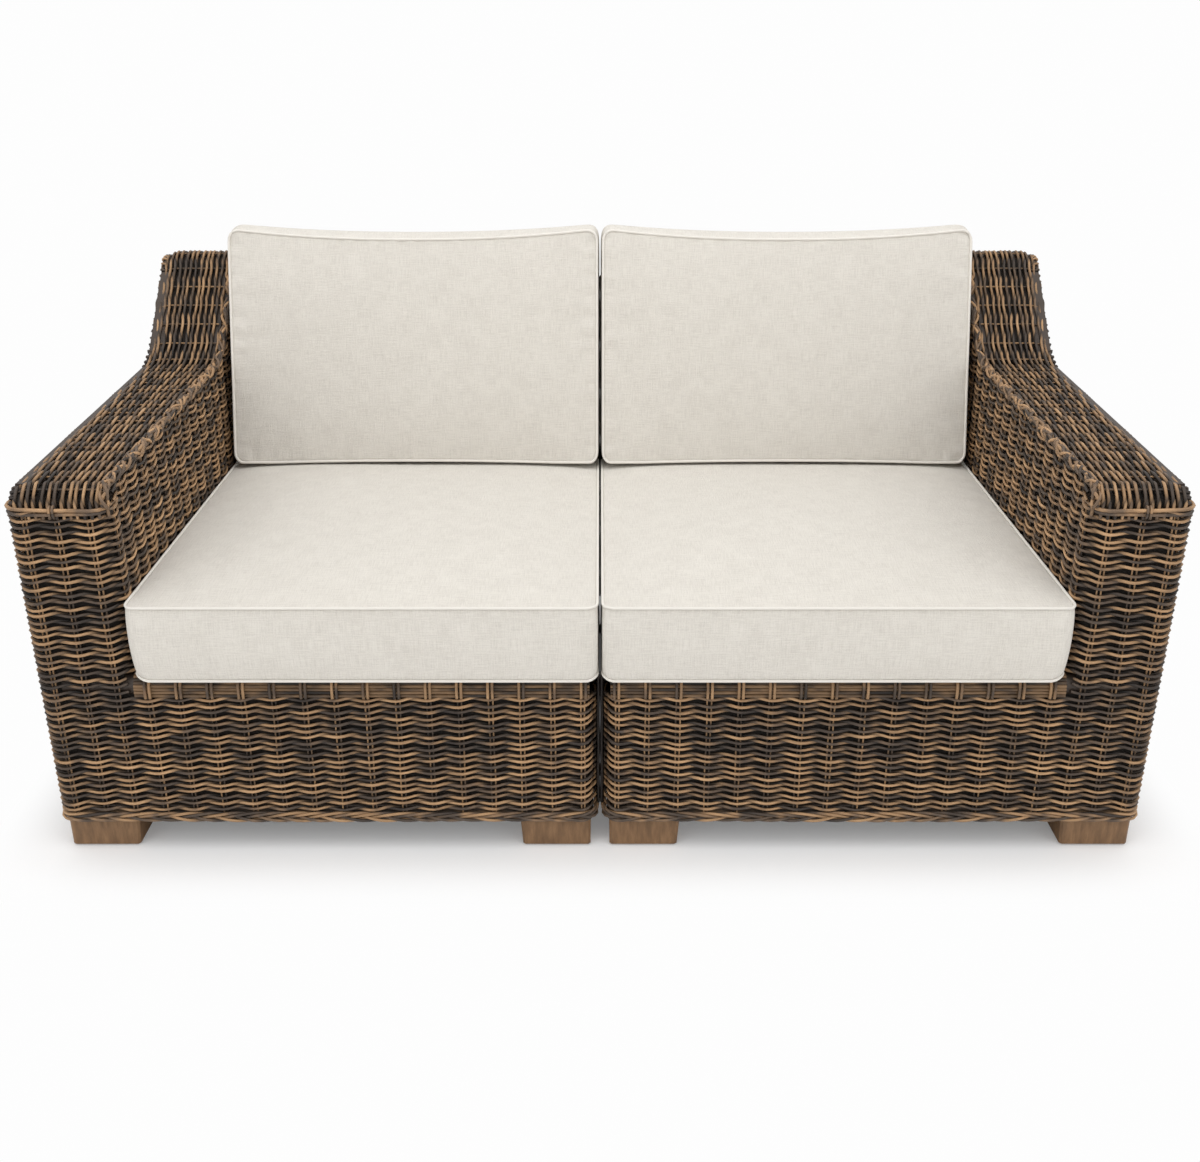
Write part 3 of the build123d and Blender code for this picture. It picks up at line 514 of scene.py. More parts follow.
def ticks(start, end, step=STEP):
    """Places along a row, on the same marks in every piece, with both ends."""
    if end - start < 0.004:
        return np.array([])
    inner = np.arange(math.ceil(start / step + 0.2), math.floor(end / step - 0.2) + 1) * step
    return np.concatenate(([start], inner, [end]))


def plan_rows(bundle, route, rows, span, depth=SKIN_DEPTH, tuck=None):
    """Level rows round a route in the plan; span(z) gives where a row starts and ends, and
    tuck(places, z) how far it lies in from the skin."""
    for row in rows:
        z = SKIRT_Z + ROW_PITCH * (row + 0.5)
        start, end = span(z)
        run = ticks(start, end)
        if not len(run):
            continue
        place, hand = route.at(run)
        thickness = WEAVER_R * (1.0 + 0.10 * np.sin(run * 41.0 + row * 3.3))
        swell = CORNER_SWELL * np.exp(-((run - SIDE_RUN - CORNER_R * math.pi / 4) / 0.024) ** 2)
        if tuck:
            swell = swell - tuck(place, z)
        place = place + hand * swell[:, None]
        for strand in (0, 1):
            out, rise, lit = twine(run, strand)
            line = in_plan(place + hand * (out - depth)[:, None], z + rise + waver(run, row))
            bundle.strand(line, in_plan(hand), thickness, 2 * row + strand, run, lit=lit)


# %% [markdown]
# The stakes are the upright rods that the weavers pass round. They stand in pairs at an even
# pitch round the whole module, and each one starts and ends where its own piece of skin does.


# %% Stakes
def height_at(height, place):
    """A height that is the same everywhere, or one that a function finds from the place."""
    return height(place) if callable(height) else height


def plan_stakes(bundle, route, start, end, low, high, depth=SKIN_DEPTH):
    """Pairs of upright stakes; low and high give a stake's foot and top at its place."""
    first = math.ceil((start + 0.004) / STAKE_PITCH - STAKE_START)
    last = math.floor((end - 0.004) / STAKE_PITCH - STAKE_START)
    for index in range(first, last + 1):
        for hand_side in (-1.0, 1.0):
            run = (index + STAKE_START) * STAKE_PITCH + hand_side * STAKE_HALF_PAIR
            place, hand = route.at(np.array([run]))
            foot, top = height_at(low, place[0]), height_at(high, place[0])
            if top - foot < 0.01:
                continue
            heights = np.linspace(foot, top, max(3, int((top - foot) / STAKE_STEP) + 2))
            spread = 0.0006 * np.sin(heights * 40.0 + index * 2.1 + hand_side)
            across = np.array((-hand[0][1], hand[0][0]))
            line = np.column_stack((
                place[0][None, :] - hand[0][None, :] * depth + across[None, :] * spread[:, None],
                heights,
            ))
            outward = np.tile((hand[0][0], hand[0][1], 0.0), (len(heights), 1))
            number = 900 + index * 2 + (hand_side > 0)
            bundle.strand(line, outward, STAKE_R, number, heights, lit=STAKE_LIT)


# %% [markdown]
# The arm's outline in the side view says how high the skin reaches. A row near the top ends
# where the outline crosses it. The distances round the module at which one woven piece hands
# over to the next are worked out here once, and every piece reads them.

# %% Where rows and stakes end
front_outline = arm_side.places


def top_at(y):
    """Height of the arm's outline at a depth."""
    return float(np.interp(y, front_outline[:-2, 0], front_outline[:-2, 1]))


def outline_y(z):
    """Depth at which the arm's outline reaches a height."""
    keep = front_outline[:, 1] <= BACK_TOP_Z - 1e-5
    keep[-3:] = False
    ys, zs = front_outline[keep, 0], front_outline[keep, 1]
    order = np.argsort(zs)
    return float(np.interp(z, zs[order], ys[order]))


EDGE_DROP, OUTER_DROP = 0.008, 0.026
OUTER_END = REAR_Y - LEG - (FRONT_Y + LEG)
FRONT_END = OUTER_END + 2 * (LEG - CORNER_R) + CORNER_R * math.pi + (OUTER_X - INNER_X - 2 * CORNER_R)
INNER_END = FRONT_END + OUTER_END
ARM_IN_START = SIDE_RUN + (CORNER_R + ARM_CORNER_R) * math.pi / 2 + ARM_RUN + LEG - ARM_CORNER_R
ARM_TURN = SIDE_RUN + CORNER_R * math.pi / 2 + ARM_RUN + 0.018
print("stake pitch", round(STAKE_PITCH, 5), "front ends at", round(FRONT_END, 4))


def outer_span(z):
    """Where a row of the outer side starts and ends."""
    if z + OUTER_DROP <= NOSE_Z:
        return 0.0, OUTER_END
    front = max(outline_y(z + OUTER_DROP), FRONT_Y + ARM_CORNER_R)
    return 0.0, REAR_Y - LEG - front


def outer_tuck(places, z):
    """How far a row of the outer side turns in below the arm's rounded top."""
    tops = np.interp(places[:, 1], front_outline[:-2, 0], front_outline[:-2, 1])
    near = (EDGE_TURN - (tops - z)).clip(0.0, EDGE_TURN * 0.8)
    return EDGE_TURN - np.sqrt(EDGE_TURN**2 - near**2)


def rows_between(low, high):
    """Numbers of the rows whose middles lie between two heights."""
    first, last = [math.ceil((z - SKIRT_Z) / ROW_PITCH - 0.5) for z in (low, high)]
    return range(first, last)


# %% [markdown]
# First the base. The front and the rear turn round the corners, the two sides run straight
# between them, and because every piece reads the same route the rows meet without a step.


# %% Base and sides of one module
def weave_base(side):
    front = Bundle()
    plan_rows(front, skirt, rows_between(SKIRT_Z, LEDGE_Z),
              lambda z: (OUTER_END, FRONT_END if z < BAND_Z else ARM_TURN))
    plan_stakes(front, skirt, OUTER_END, FRONT_END, STAKE_FOOT,
                lambda place: (LEDGE_Z if place[0] > ARM_X else BAND_Z) + 0.004)
    front.build(side, "front_weave_strands", "front_weave")

    inner = Bundle()
    plan_rows(inner, skirt, rows_between(SKIRT_Z, RAIL_Z), lambda z: (FRONT_END, INNER_END))
    plan_stakes(inner, skirt, FRONT_END, INNER_END, STAKE_FOOT, RAIL_Z)
    inner.build(side, "inner_side_strands", "inner_side_weave")

    rear = Bundle()
    plan_rows(rear, skirt, rows_between(SKIRT_Z, ROLL_LOW_Z), lambda z: (INNER_END, skirt.length))
    plan_stakes(rear, skirt, INNER_END, skirt.length, STAKE_FOOT, ROLL_LOW_Z)
    rear.build(side, "rear_weave_strands", "rear_weave")

    outer = Bundle()
    plan_rows(outer, skirt, rows_between(SKIRT_Z, BACK_TOP_Z - OUTER_DROP), outer_span, tuck=outer_tuck)
    plan_stakes(outer, skirt, 0.0, OUTER_END, STAKE_FOOT, lambda place: top_at(place[1]) - OUTER_DROP)
    outer.build(side, "outer_side_strands", "outer_side_weave")


for side in SIDES:
    weave_base(side)

# %% [markdown]
# The arm: the rows come round its front from the outer side, sweep round the inner corner
# and run back along the inner face until they meet the leaning back.


# %% Arm front and arm inner face
def arm_front_span(z):
    """The rows turn into the seat's border below the deck, and run round the arm above it."""
    if z < DECK_Z:
        return OUTER_END, ARM_TURN
    return OUTER_END, ARM_IN_START


def arm_inner_span(z):
    front = FRONT_Y + LEG
    if z + EDGE_DROP > NOSE_Z:
        front = max(outline_y(z + EDGE_DROP), FRONT_Y + ARM_CORNER_R)
    return ARM_IN_START + front - (FRONT_Y + LEG), ARM_IN_START + face_y(z) - (FRONT_Y + LEG)


def arm_stake_top(place):
    """Top of a stake of the inner face; behind the back's face there is none."""
    top = top_at(place[1]) - EDGE_DROP
    return top if place[1] < face_y(top) else 0.0


def arm_front_foot(place):
    """The arm's front goes down to the ledge, and round the corner to the deck."""
    return LEDGE_Z if place[0] > ARM_X + 0.02 else DECK_Z


def weave_arm(side):
    front = Bundle()
    plan_rows(front, arm_plan, rows_between(LEDGE_Z, NOSE_Z), arm_front_span)
    plan_stakes(front, arm_plan, OUTER_END, ARM_IN_START, arm_front_foot, NOSE_Z)
    front.build(side, "arm_front_strands", "arm_front_weave")

    inner = Bundle()
    depth = SKIN_DEPTH + 0.0012
    plan_rows(inner, arm_plan, rows_between(DECK_Z - 0.006, BACK_TOP_Z - 0.012), arm_inner_span, depth)
    plan_stakes(inner, arm_plan, ARM_IN_START, arm_plan.length - 0.05, RAIL_Z, arm_stake_top, depth)
    inner.build(side, "arm_inner_strands", "arm_inner_weave")


for side in SIDES:
    weave_arm(side)

# %% [markdown]
# Over the arm the strands change direction: they run from front to back over cross stakes,
# start under the two strands tied round the nose, and climb the slope to the back. Near the
# arm's rounded front corners a strand starts further back, as the plan's corner does.

# %% Top of the arm and the slope
TOP_ROWS = 15
TOP_LIT = 0.82
TOP_STAKE_PITCH, TOP_STAKE_START = 0.045, 0.3
EDGE_SHARE = 0.90


def nose_setback(x):
    """How far the plan's rounded corners hold a strand back from the arm's front."""
    if x > OUTER_X - CORNER_R:
        off = min(x - (OUTER_X - CORNER_R), CORNER_R)
        return CORNER_R - math.sqrt(CORNER_R**2 - off**2)
    if x < ARM_X + ARM_CORNER_R:
        off = min(ARM_X + ARM_CORNER_R - x, ARM_CORNER_R)
        return ARM_CORNER_R - math.sqrt(ARM_CORNER_R**2 - off**2)
    return 0.0


def edge_fall(x):
    """How far the top falls away near its outer edge, where the skin turns over."""
    off = max(0.0, x - (OUTER_X - EDGE_TURN))
    return EDGE_TURN * EDGE_SHARE * (1.0 - math.sqrt(1.0 - (off / EDGE_TURN) ** 2))


def side_line(route, run, stand):
    """Places in the side view at a distance out of the skin, and the outward direction."""
    place, hand = route.at(run)
    return place + hand * np.broadcast_to(stand, len(run))[:, None], hand


def weave_arm_top(side):
    bundle = Bundle()
    width = OUTER_X - ARM_X
    end = arm_side.length
    for index in range(TOP_ROWS):
        x = ARM_X + width * (index + 0.5) / TOP_ROWS
        run = ticks(0.008, end - 0.002, TOP_STAKE_PITCH / 7.0)
        drift = 0.0011 * np.sin(run * 13.0 + index * 1.9) + 0.0006 * np.sin(run * 47.0 + index * 4.3)
        for strand in (0, 1):
            out, rise, lit = twine(run, strand, TOP_STAKE_PITCH, TOP_STAKE_START)
            place, hand = side_line(arm_side, run, out - SKIN_DEPTH - edge_fall(x))
            held = FRONT_Y + nose_setback(x) + SKIN_DEPTH - out
            y = np.where(place[:, 1] < ARM_FRONT_Z + 0.01, np.maximum(place[:, 0], held), place[:, 0])
            line = np.column_stack((x + drift + rise * 0.8, y, place[:, 1]))
            thickness = WEAVER_R * (1.04 + 0.08 * np.sin(run * 37.0 + index))
            number = 300 + 2 * index + strand
            bundle.strand(line, in_side_view(hand), thickness, number, run, lit=lit * TOP_LIT)
    for index in range(1, int(end / TOP_STAKE_PITCH)):
        run = (index + TOP_STAKE_START) * TOP_STAKE_PITCH
        place, hand = side_line(arm_side, np.array([run]), -SKIN_DEPTH)
        xs = np.linspace(ARM_X + 0.005, OUTER_X - 0.005, 13)
        fall = np.array([edge_fall(x) for x in xs])
        held = np.array([FRONT_Y + nose_setback(x) + SKIN_DEPTH for x in xs])
        y, z = place[0][0] - hand[0][0] * fall, place[0][1] - hand[0][1] * fall
        y = np.where(z < ARM_FRONT_Z + 0.004, np.maximum(y, held), y)
        line = np.column_stack((xs, y, z))
        outward = np.tile((0.0, hand[0][0], hand[0][1]), (len(xs), 1))
        bundle.strand(line, outward, STAKE_R * 1.2, 1800 + index, xs, capped=True, lit=STAKE_LIT)
    bundle.build(side, "arm_top_strands", "arm_top_weave")


for side in SIDES:
    weave_arm_top(side)

# %% [markdown]
# The leaning back and its rounded top are one weave: the rows run across, and the stakes
# climb the face, roll over the tube and go down the rear. The narrow end towards the other
# module has its own level rows.


# %% Back face, back top and back end
BACK_STAKE_START = 0.42
ROLL_STEP, FACE_STEP = 0.008, 0.05


def weave_across(bundle, route, start, end, x0, x1, first_number, inset=0.0):
    """Rows across a bent face, with stakes along it."""
    xs = ticks(x0, x1)
    for row in range(math.ceil(start / ROW_PITCH), math.floor(end / ROW_PITCH) + 1):
        for strand in (0, 1):
            out, rise, lit = twine(xs, strand, start=BACK_STAKE_START)
            along = (row * ROW_PITCH + rise + waver(xs, row)).clip(start, end)
            place, hand = side_line(route, along, out - SKIN_DEPTH - inset)
            number = first_number + 2 * row + strand
            bundle.strand(in_side_view(place, xs), in_side_view(hand), WEAVER_R, number, xs, lit=lit)
    first = math.ceil(x0 / STAKE_PITCH - BACK_STAKE_START)
    last = math.floor(x1 / STAKE_PITCH - BACK_STAKE_START)
    for index in range(first, last + 1):
        for pair in (-STAKE_HALF_PAIR, STAKE_HALF_PAIR):
            x = (index + BACK_STAKE_START) * STAKE_PITCH + pair
            if not x0 < x < x1:
                continue
            run = ticks(start, end, ROLL_STEP if end - start < 0.3 else FACE_STEP)
            place, hand = side_line(route, run, -SKIN_DEPTH - inset)
            number = 1400 + index * 2 + (pair > 0)
            bundle.strand(in_side_view(place, x), in_side_view(hand), STAKE_R, number, run, lit=STAKE_LIT)


face_end = float(np.interp(ROLL_LOW_Z, back_side.places[:3, 1], back_side.marks[:3]))
print("the back's face is", round(face_end, 4), "long")


def weave_back(side):
    face = Bundle()
    weave_across(face, back_side, 0.004, face_end, INNER_X + 0.008, ARM_X, 500, 0.0012)
    face.build(side, "back_face_strands", "back_face_weave")
    top = Bundle()
    weave_across(top, back_side, face_end, back_side.length, INNER_X + 0.008, ARM_X, 500)
    top.build(side, "back_top_strands", "back_top_weave")


def back_end_span(z):
    """Where a row of the back's narrow end starts and ends."""
    front = face_y(z)
    if z >= BACK_TOP_Z - ROLL_R:
        front = float(np.interp(z, back_side.places[:16, 1], back_side.places[:16, 0]))
    rear = REAR_Y - LEG
    if z > ROLL_LOW_Z:
        drop = max(0.0, z - (BACK_TOP_Z - ROLL_R))
        rear = REAR_Y - ROLL_R + math.sqrt(max(0.0, ROLL_R**2 - drop**2)) - 0.004
    return front + 0.003, rear


def weave_back_end(side):
    end = Bundle()
    for row in rows_between(RAIL_Z, BACK_TOP_Z - 0.008):
        z = SKIRT_Z + ROW_PITCH * (row + 0.5)
        run = ticks(*back_end_span(z))
        if not len(run):
            continue
        inward = np.tile((-1.0, 0.0, 0.0), (len(run), 1))
        for strand in (0, 1):
            out, rise, lit = twine(run, strand)
            line = np.column_stack((INNER_X + SKIN_DEPTH - out, run, z + rise + waver(run, row)))
            end.strand(line, inward, WEAVER_R, 2 * row + strand, run, lit=lit)
    inward = np.tile((-1.0, 0.0, 0.0), (12, 1))
    for index in range(6, 10):
        for pair in (-STAKE_HALF_PAIR, STAKE_HALF_PAIR):
            y = (index + STAKE_START - 1.0) * STAKE_PITCH + pair
            if not face_y(RAIL_Z) + 0.012 <= y <= REAR_Y - LEG:
                continue
            roof_z = RAIL_Z + (y - 0.004 - face_y(RAIL_Z)) / math.tan(LEAN)
            heights = np.linspace(RAIL_Z, min(roof_z, BACK_TOP_Z - 0.010), 12)
            line = np.column_stack((np.full(12, INNER_X + SKIN_DEPTH), np.full(12, y), heights))
            end.strand(line, inward, STAKE_R, 1600 + index * 2 + (pair > 0), heights, lit=STAKE_LIT)
    end.build(side, "back_end_strands", "back_end_weave")


for side in SIDES:
    weave_back(side)
    weave_back_end(side)

# %% [markdown]
# Round the seat deck the skin ends in a wrapped border. Straight strands lie side by side
# over the rail, and a pair of loops binds them down at each pair of stakes.


# %% Wrapped border round the seat deck
RAIL_STRAND_R, RAIL_STRAND_LIT = 0.0029, 0.5
LOOP_R, LOOP_HALF_PAIR, LOOP_LIT = 0.0025, 0.0036, 0.85


def border_points(axis, along, places):
    """Points from one coordinate along an axis and two across it."""
    places = np.broadcast_to(places, (len(along), 2))
    if axis == "x":
        return np.column_stack((along, places))
    return np.column_stack((places[:, 0], along, places[:, 1]))


def wrap_border(bundle, route, axis, low, high, first_number, strands, loops_at):
    """Strands beside each other along an axis, over a route in the plane across it, with loops."""
    along = ticks(low, high, 0.025)
    for index, run in enumerate(np.linspace(0.003, route.length - 0.003, strands)):
        place, hand = route.at(np.array([run]))
        shift = 0.0006 * np.sin(along * 31.0 + index * 2.7) - 0.0034
        line = border_points(axis, along, place + hand * shift[:, None])
        outward = border_points(axis, np.zeros(len(along)), hand)
        bundle.strand(line, outward, RAIL_STRAND_R, first_number + index, along, lit=RAIL_STRAND_LIT)
    turns = np.linspace(0.0005, route.length - 0.0005, max(6, int(route.length / 0.005)))
    place, hand = route.at(turns)
    outward = border_points(axis, np.zeros(len(turns)), hand)
    for index, spot in enumerate(loops_at):
        for pair in (-LOOP_HALF_PAIR, LOOP_HALF_PAIR):
            line = border_points(axis, np.full(len(turns), spot + pair), place + hand * 0.0022)
            number = first_number + 60 + index * 2 + (pair > 0)
            bundle.strand(line, outward, LOOP_R, number, turns, capped=True, lit=LOOP_LIT)


front_ledge = Route([(FRONT_Y, BAND_Z), (FRONT_Y, DECK_Z), (FRONT_Y + LEG, DECK_Z)], [CORNER_R - 0.0005])
LEDGE_WIDTH = 0.038


def stake_places(low, high):
    """X of the pairs of stakes in the front, between two limits."""
    front_start = SIDE_RUN + CORNER_R * math.pi / 2
    found = []
    for index in range(STAKE_COUNT):
        x = OUTER_X - CORNER_R - ((index + STAKE_START) * STAKE_PITCH - front_start)
        if low < x < high:
            found.append(x)
    return found


def weave_seat_border(side):
    bundle = Bundle()
    wrap_border(bundle, front_ledge, "x", INNER_X + 0.010, ARM_X + 0.004, 2000, 12,
                stake_places(INNER_X + 0.012, ARM_X - 0.004))
    deck_y = face_y(RAIL_Z)
    inner_edge = INNER_X + LEDGE_WIDTH
    inner_ledge = Route([(INNER_X, DECK_Z - 0.012), (INNER_X, DECK_Z), (inner_edge, DECK_Z)], [0.008])
    arm_ledge = Route([(ARM_X - LEDGE_WIDTH, DECK_Z), (ARM_X - 0.002, DECK_Z)], [])
    spots = np.arange(FRONT_Y + LEG + 0.02, deck_y - 0.02, STAKE_PITCH)
    wrap_border(bundle, inner_ledge, "y", FRONT_Y + LEG - 0.012, deck_y - 0.002, 2200, 8, spots)
    wrap_border(bundle, arm_ledge, "y", FRONT_Y + LEG, deck_y - 0.002, 2400, 6, spots)
    rear_ledge = Route([(deck_y - LEDGE_WIDTH, DECK_Z), (deck_y - 0.002, DECK_Z)], [])
    arm_edge = ARM_X - LEDGE_WIDTH
    wrap_border(bundle, rear_ledge, "x", inner_edge, arm_edge, 2600, 6,
                stake_places(inner_edge + 0.01, arm_edge - 0.01))
    bundle.build(side, "seat_border_strands", "seat_border")


for side in SIDES:
    weave_seat_border(side)

# %% [markdown]
# At the foot the skin ends in a long flat plait. Such a plait is one curve drawn five times,
# a fifth of a turn apart: once from side to side while it goes twice in and out. Three plain
# strands behind it close the gaps.


# %% Plaited border at the foot
PLAIT_STRANDS, PLAIT_TURNS = 5, 20
PLAIT_R, PLAIT_HALF = 0.0025, 0.0068
PLAIT_Z = FOOT_TOP + 0.0070
BACKING = ((-0.0052, -0.0075), (0.0052, -0.0075), (0.0, -0.0085))


def weave_foot_border(side):
    bundle = Bundle()
    run = np.linspace(0.0, skirt.length, PLAIT_TURNS * 18 + 1)
    place, hand = skirt.at(run)
    for index in range(PLAIT_STRANDS):
        phase = 2.0 * math.pi * (run * PLAIT_TURNS / skirt.length + index / PLAIT_STRANDS)
        out = 0.0008 + 0.0024 * np.sin(2.0 * phase) + 0.0004 * np.sin(run * 33.0 + index)
        height = PLAIT_Z + PLAIT_HALF * np.sin(phase) + 0.0006 * np.sin(run * 45.0 + index)
        lit = (0.85 + 0.3 * np.sin(2.0 * phase)).clip(0.3, 1.0)
        line = in_plan(place + hand * out[:, None], height)
        bundle.strand(line, in_plan(hand), PLAIT_R, 700 + index * 3, run, lit=lit)
    run = np.linspace(0.0, skirt.length, 200)
    place, hand = skirt.at(run)
    for index, (height, depth) in enumerate(BACKING):
        line = in_plan(place + hand * depth, PLAIT_Z + height)
        bundle.strand(line, in_plan(hand), 0.0027, 720 + index, run, lit=0.3)
    bundle.build(side, "foot_border_strands", "bottom_braid")


for side in SIDES:
    weave_foot_border(side)

# %% [markdown]
# Where two weaves meet, a strand is wound along the edge. Seen end on it makes a row of
# little loops, with light through them along the slope. The arm's inner edge is sewn with
# strands that cross.


# %% Loops along the edges
def coil(bundle, run, place, hand, along_side, radius, pitch, number, thickness=0.0022, sign=1.0, phase=0.0):
    """A strand wound round a line: hand and along_side are two directions across the line."""
    fine = np.arange(run[0], run[-1], pitch / 9.0)
    centre = np.column_stack([np.interp(fine, run, place[:, axis]) for axis in range(3)])
    out = np.column_stack([np.interp(fine, run, hand[:, axis]) for axis in range(3)])
    out /= np.linalg.norm(out, axis=1)[:, None]
    across = np.column_stack([np.interp(fine, run, along_side[:, axis]) for axis in range(3)])
    jitter = 0.25 * np.sin(fine * 63.0 + number)
    turn = sign * 2.0 * math.pi * fine / pitch + phase + jitter
    swell = radius * (1.0 + 0.18 * np.sin(fine * 29.0 + number * 1.3))
    spoke = out * np.cos(turn)[:, None] + across * np.sin(turn)[:, None]
    bundle.strand(centre + spoke * swell[:, None], spoke, thickness, number, fine, capped=True)


def edge_line(x, start, end, stand):
    """A line along the arm's outline at one x, held out of the skin."""
    run = np.linspace(start, end, 160)
    place, hand = side_line(arm_side, run, stand)
    if x < ARM_X + ARM_CORNER_R or x > OUTER_X - CORNER_R:
        held = FRONT_Y + nose_setback(x)
        low = place[:, 1] < ARM_FRONT_Z
        place[:, 0] = np.where(low, np.maximum(place[:, 0], held), place[:, 0])
    return run, in_side_view(place, x), in_side_view(hand), np.tile((1.0, 0.0, 0.0), (len(run), 1))


EDGE_END = arm_side.length - 0.004
SEAM_COILS = (
    (0.066, 1.0, 0.0, 0.0056),
    (0.061, -1.0, 1.3, 0.0052),
    (0.072, 1.0, 3.1, 0.0060),
    (0.064, -1.0, 4.2, 0.0050),
    (0.069, 1.0, 5.0, 0.0048),
)
SEAM_R = 0.0027


def wind_outer_edge(side):
    loops = Bundle()
    run, line, outward, sideways = edge_line(OUTER_X - 0.0105, 0.020, EDGE_END, -0.0165)
    coil(loops, run, line, outward, sideways, 0.0058, 0.0150, 801)
    coil(loops, run, line, outward, sideways, 0.0042, 0.0150, 802, sign=-1.0, phase=2.0)
    loops.build(side, "outer_edge_loops", finish=wicker_dark)


def sew_inner_edge(side):
    seam = Bundle()
    run, line, outward, sideways = edge_line(ARM_X + 0.0075, 0.024, EDGE_END, -0.0042)
    for number, (pitch, sign, phase, radius) in enumerate(SEAM_COILS):
        coil(seam, run, line, outward, sideways, radius, pitch, 821 + number, SEAM_R, sign, phase)
    seam.build(side, "inner_edge_seam")


# %% [markdown]
# In the joint between the modules the photograph shows dark strands bound down the corners.
# The rear ones of the left module stand a little further forward than those of the right,
# so that the two sets don't touch.

# %% Binding in the joint
BINDING_R, BINDING_LIT = 0.0026, 0.35
UPRIGHTS = (
    (0.0024, REAR_Y - 0.030, ROLL_LOW_Z),
    (0.0052, REAR_Y - 0.058, ROLL_LOW_Z),
    (0.0030, FRONT_Y + 0.030, RAIL_Z - 0.004),
    (0.0028, FRONT_Y + 0.041, RAIL_Z - 0.004),
)


def bind_joint(side):
    binding = Bundle()
    inward = np.array([(-1.0, 0.0, 0.0)])
    for number, (x, y, top) in enumerate(UPRIGHTS):
        if y > 0.0 and SIDES[side] < 0:
            y -= 0.012
        heights = np.linspace(SKIRT_Z + 0.001, top, 90)
        xs = x + 0.0003 * np.sin(heights * 60.0)
        line = np.column_stack((xs, y + 0.0008 * np.sin(heights * 35.0), heights))
        binding.strand(line, inward.repeat(90, 0), BINDING_R, 871 + number, heights, True, BINDING_LIT)
    for number, height in enumerate((RAIL_Z - 0.004, RAIL_Z - 0.015)):
        depths = np.linspace(FRONT_Y + 0.032, REAR_Y - 0.03, 120)
        line = np.column_stack((np.full(120, 0.0031), depths, height + 0.0006 * np.sin(depths * 40.0)))
        binding.strand(line, inward.repeat(120, 0), BINDING_R, 881 + number, depths, True, BINDING_LIT)
    binding.build(side, "joint_binding", finish=wicker_dark)


# %% [markdown]
# Two strands run round the arm's nose, one below the other, and hold down the ends of the
# top. On the inner face they sink into the weave, clear of the cushion, and a short tie of
# two loops binds them at the front.

# %% The tied nose
NOSE_START, NOSE_END = 0.846, ARM_IN_START + 0.012
NOSE_STRANDS = ((NOSE_Z + 0.0035, 0.0022, 0.0), (NOSE_Z - 0.0035, 0.0014, 0.014))
NOSE_STRAND_R, TIE_R = 0.0029, 0.0021


def tie_nose(side):
    nose = Bundle()
    for number, (height, proud, reach) in enumerate(NOSE_STRANDS):
        run = ticks(NOSE_START - reach, NOSE_END + reach, 0.01)
        place, hand = arm_plan.at(run)
        dip = 0.0012 * np.sin(run * 17.0 + number * 2.0)
        sunk = 0.0070 * ((run - NOSE_END + 0.060) / 0.030).clip(0.0, 1.0)
        stand = proud - 0.0006 * np.cos(run * 90.0) - sunk
        line = in_plan(place + hand * stand[:, None], height + dip)
        nose.strand(line, in_plan(hand), NOSE_STRAND_R, 841 + number, run, capped=True)
    tie = np.linspace(0.0, 2.0 * math.pi, 15)
    outward = np.column_stack((np.zeros(15), -np.cos(tie), np.sin(tie)))
    for number, shift in enumerate((0.0, 0.0052)):
        ys = FRONT_Y - 0.0018 - 0.0050 * np.cos(tie)
        line = np.column_stack((np.full(15, ARM_X + 0.082 + shift), ys, NOSE_Z + 0.0095 * np.sin(tie)))
        nose.strand(line, outward, TIE_R, 851 + number, tie * 0.01)
    nose.build(side, "arm_nose_ties")


for side in SIDES:
    wind_outer_edge(side)
    bind_joint(side)
    sew_inner_edge(side)
    tie_nose(side)

# %% [markdown]
# The skin has no lining, but little light gets behind it, so between the strands the eye
# meets near black. A thin sheet some twelve millimetres in stands for that shade and for the
# backs of the strands. It stays short of the edges, where light does come through the loops.

# %% A dark sheet behind the weave
SHADE_DEPTH = 0.0125


def shade_finish():
    shader = Shader("wicker_shade")
    strands = shader.noise(shader.places(), 160.0, 3.0, 0.7)
    shader.paint(strands, (0.006, 0.005, 0.004), (0.030, 0.022, 0.017), 0.85)
    shader.bump(strands, 0.6, 0.002)
    return shader.material


wicker_shade = shade_finish()


class Sheets:
    """Strips of quads between two lines of points, gathered into one mesh."""

    def __init__(self):
        self.points = []
        self.quads = []
        self.count = 0

    def strip(self, first, second):
        first, second = np.asarray(first, float), np.asarray(second, float)
        size = len(first)
        if size < 2:
            return
        step = np.arange(size - 1)
        quads = np.stack((step, step + 1, step + 1 + size, step + size), axis=1)
        self.quads.append(quads + self.count)
        self.points += [first, second]
        self.count += 2 * size


def mesh_piece(name, points, quads, side, finish, body, smooth=False):
    """A mesh from quads, mirrored for the left module, riding on its body."""
    points, quads = np.array(points, float), np.asarray(quads)
    if SIDES[side] < 0:
        points = points * np.array((-1.0, 1.0, 1.0))
        quads = quads[:, ::-1]
    mesh = bpy.data.meshes.new(name)
    mesh.from_pydata(points.tolist(), [], quads.tolist())
    mesh.polygons.foreach_set("use_smooth", np.full(len(quads), smooth))
    mesh.materials.append(finish)
    piece = bpy.data.objects.new(name, mesh)
    bpy.context.scene.collection.objects.link(piece)
    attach(piece, body)
    return piece


# %% [markdown]
# Sheets follow the same routes as the strands, a little further in, and end before the
# strands do. All sheets of one module become one piece.


# %% Sheets behind the skin
def plan_sheet(sheets, route, start, end, low, high, depth=SHADE_DEPTH):
    """A sheet behind a route in the plan, between two heights given by the place."""
    run = np.linspace(start, end, max(2, int((end - start) / 0.012)))
    place, hand = route.at(run)
    inside = place - hand * depth
    feet = np.array([height_at(low, spot) for spot in place])
    tops = np.array([height_at(high, spot) for spot in place])
    keep = tops > feet + 0.002
    sheets.strip(in_plan(inside, feet)[keep], in_plan(inside, tops)[keep])


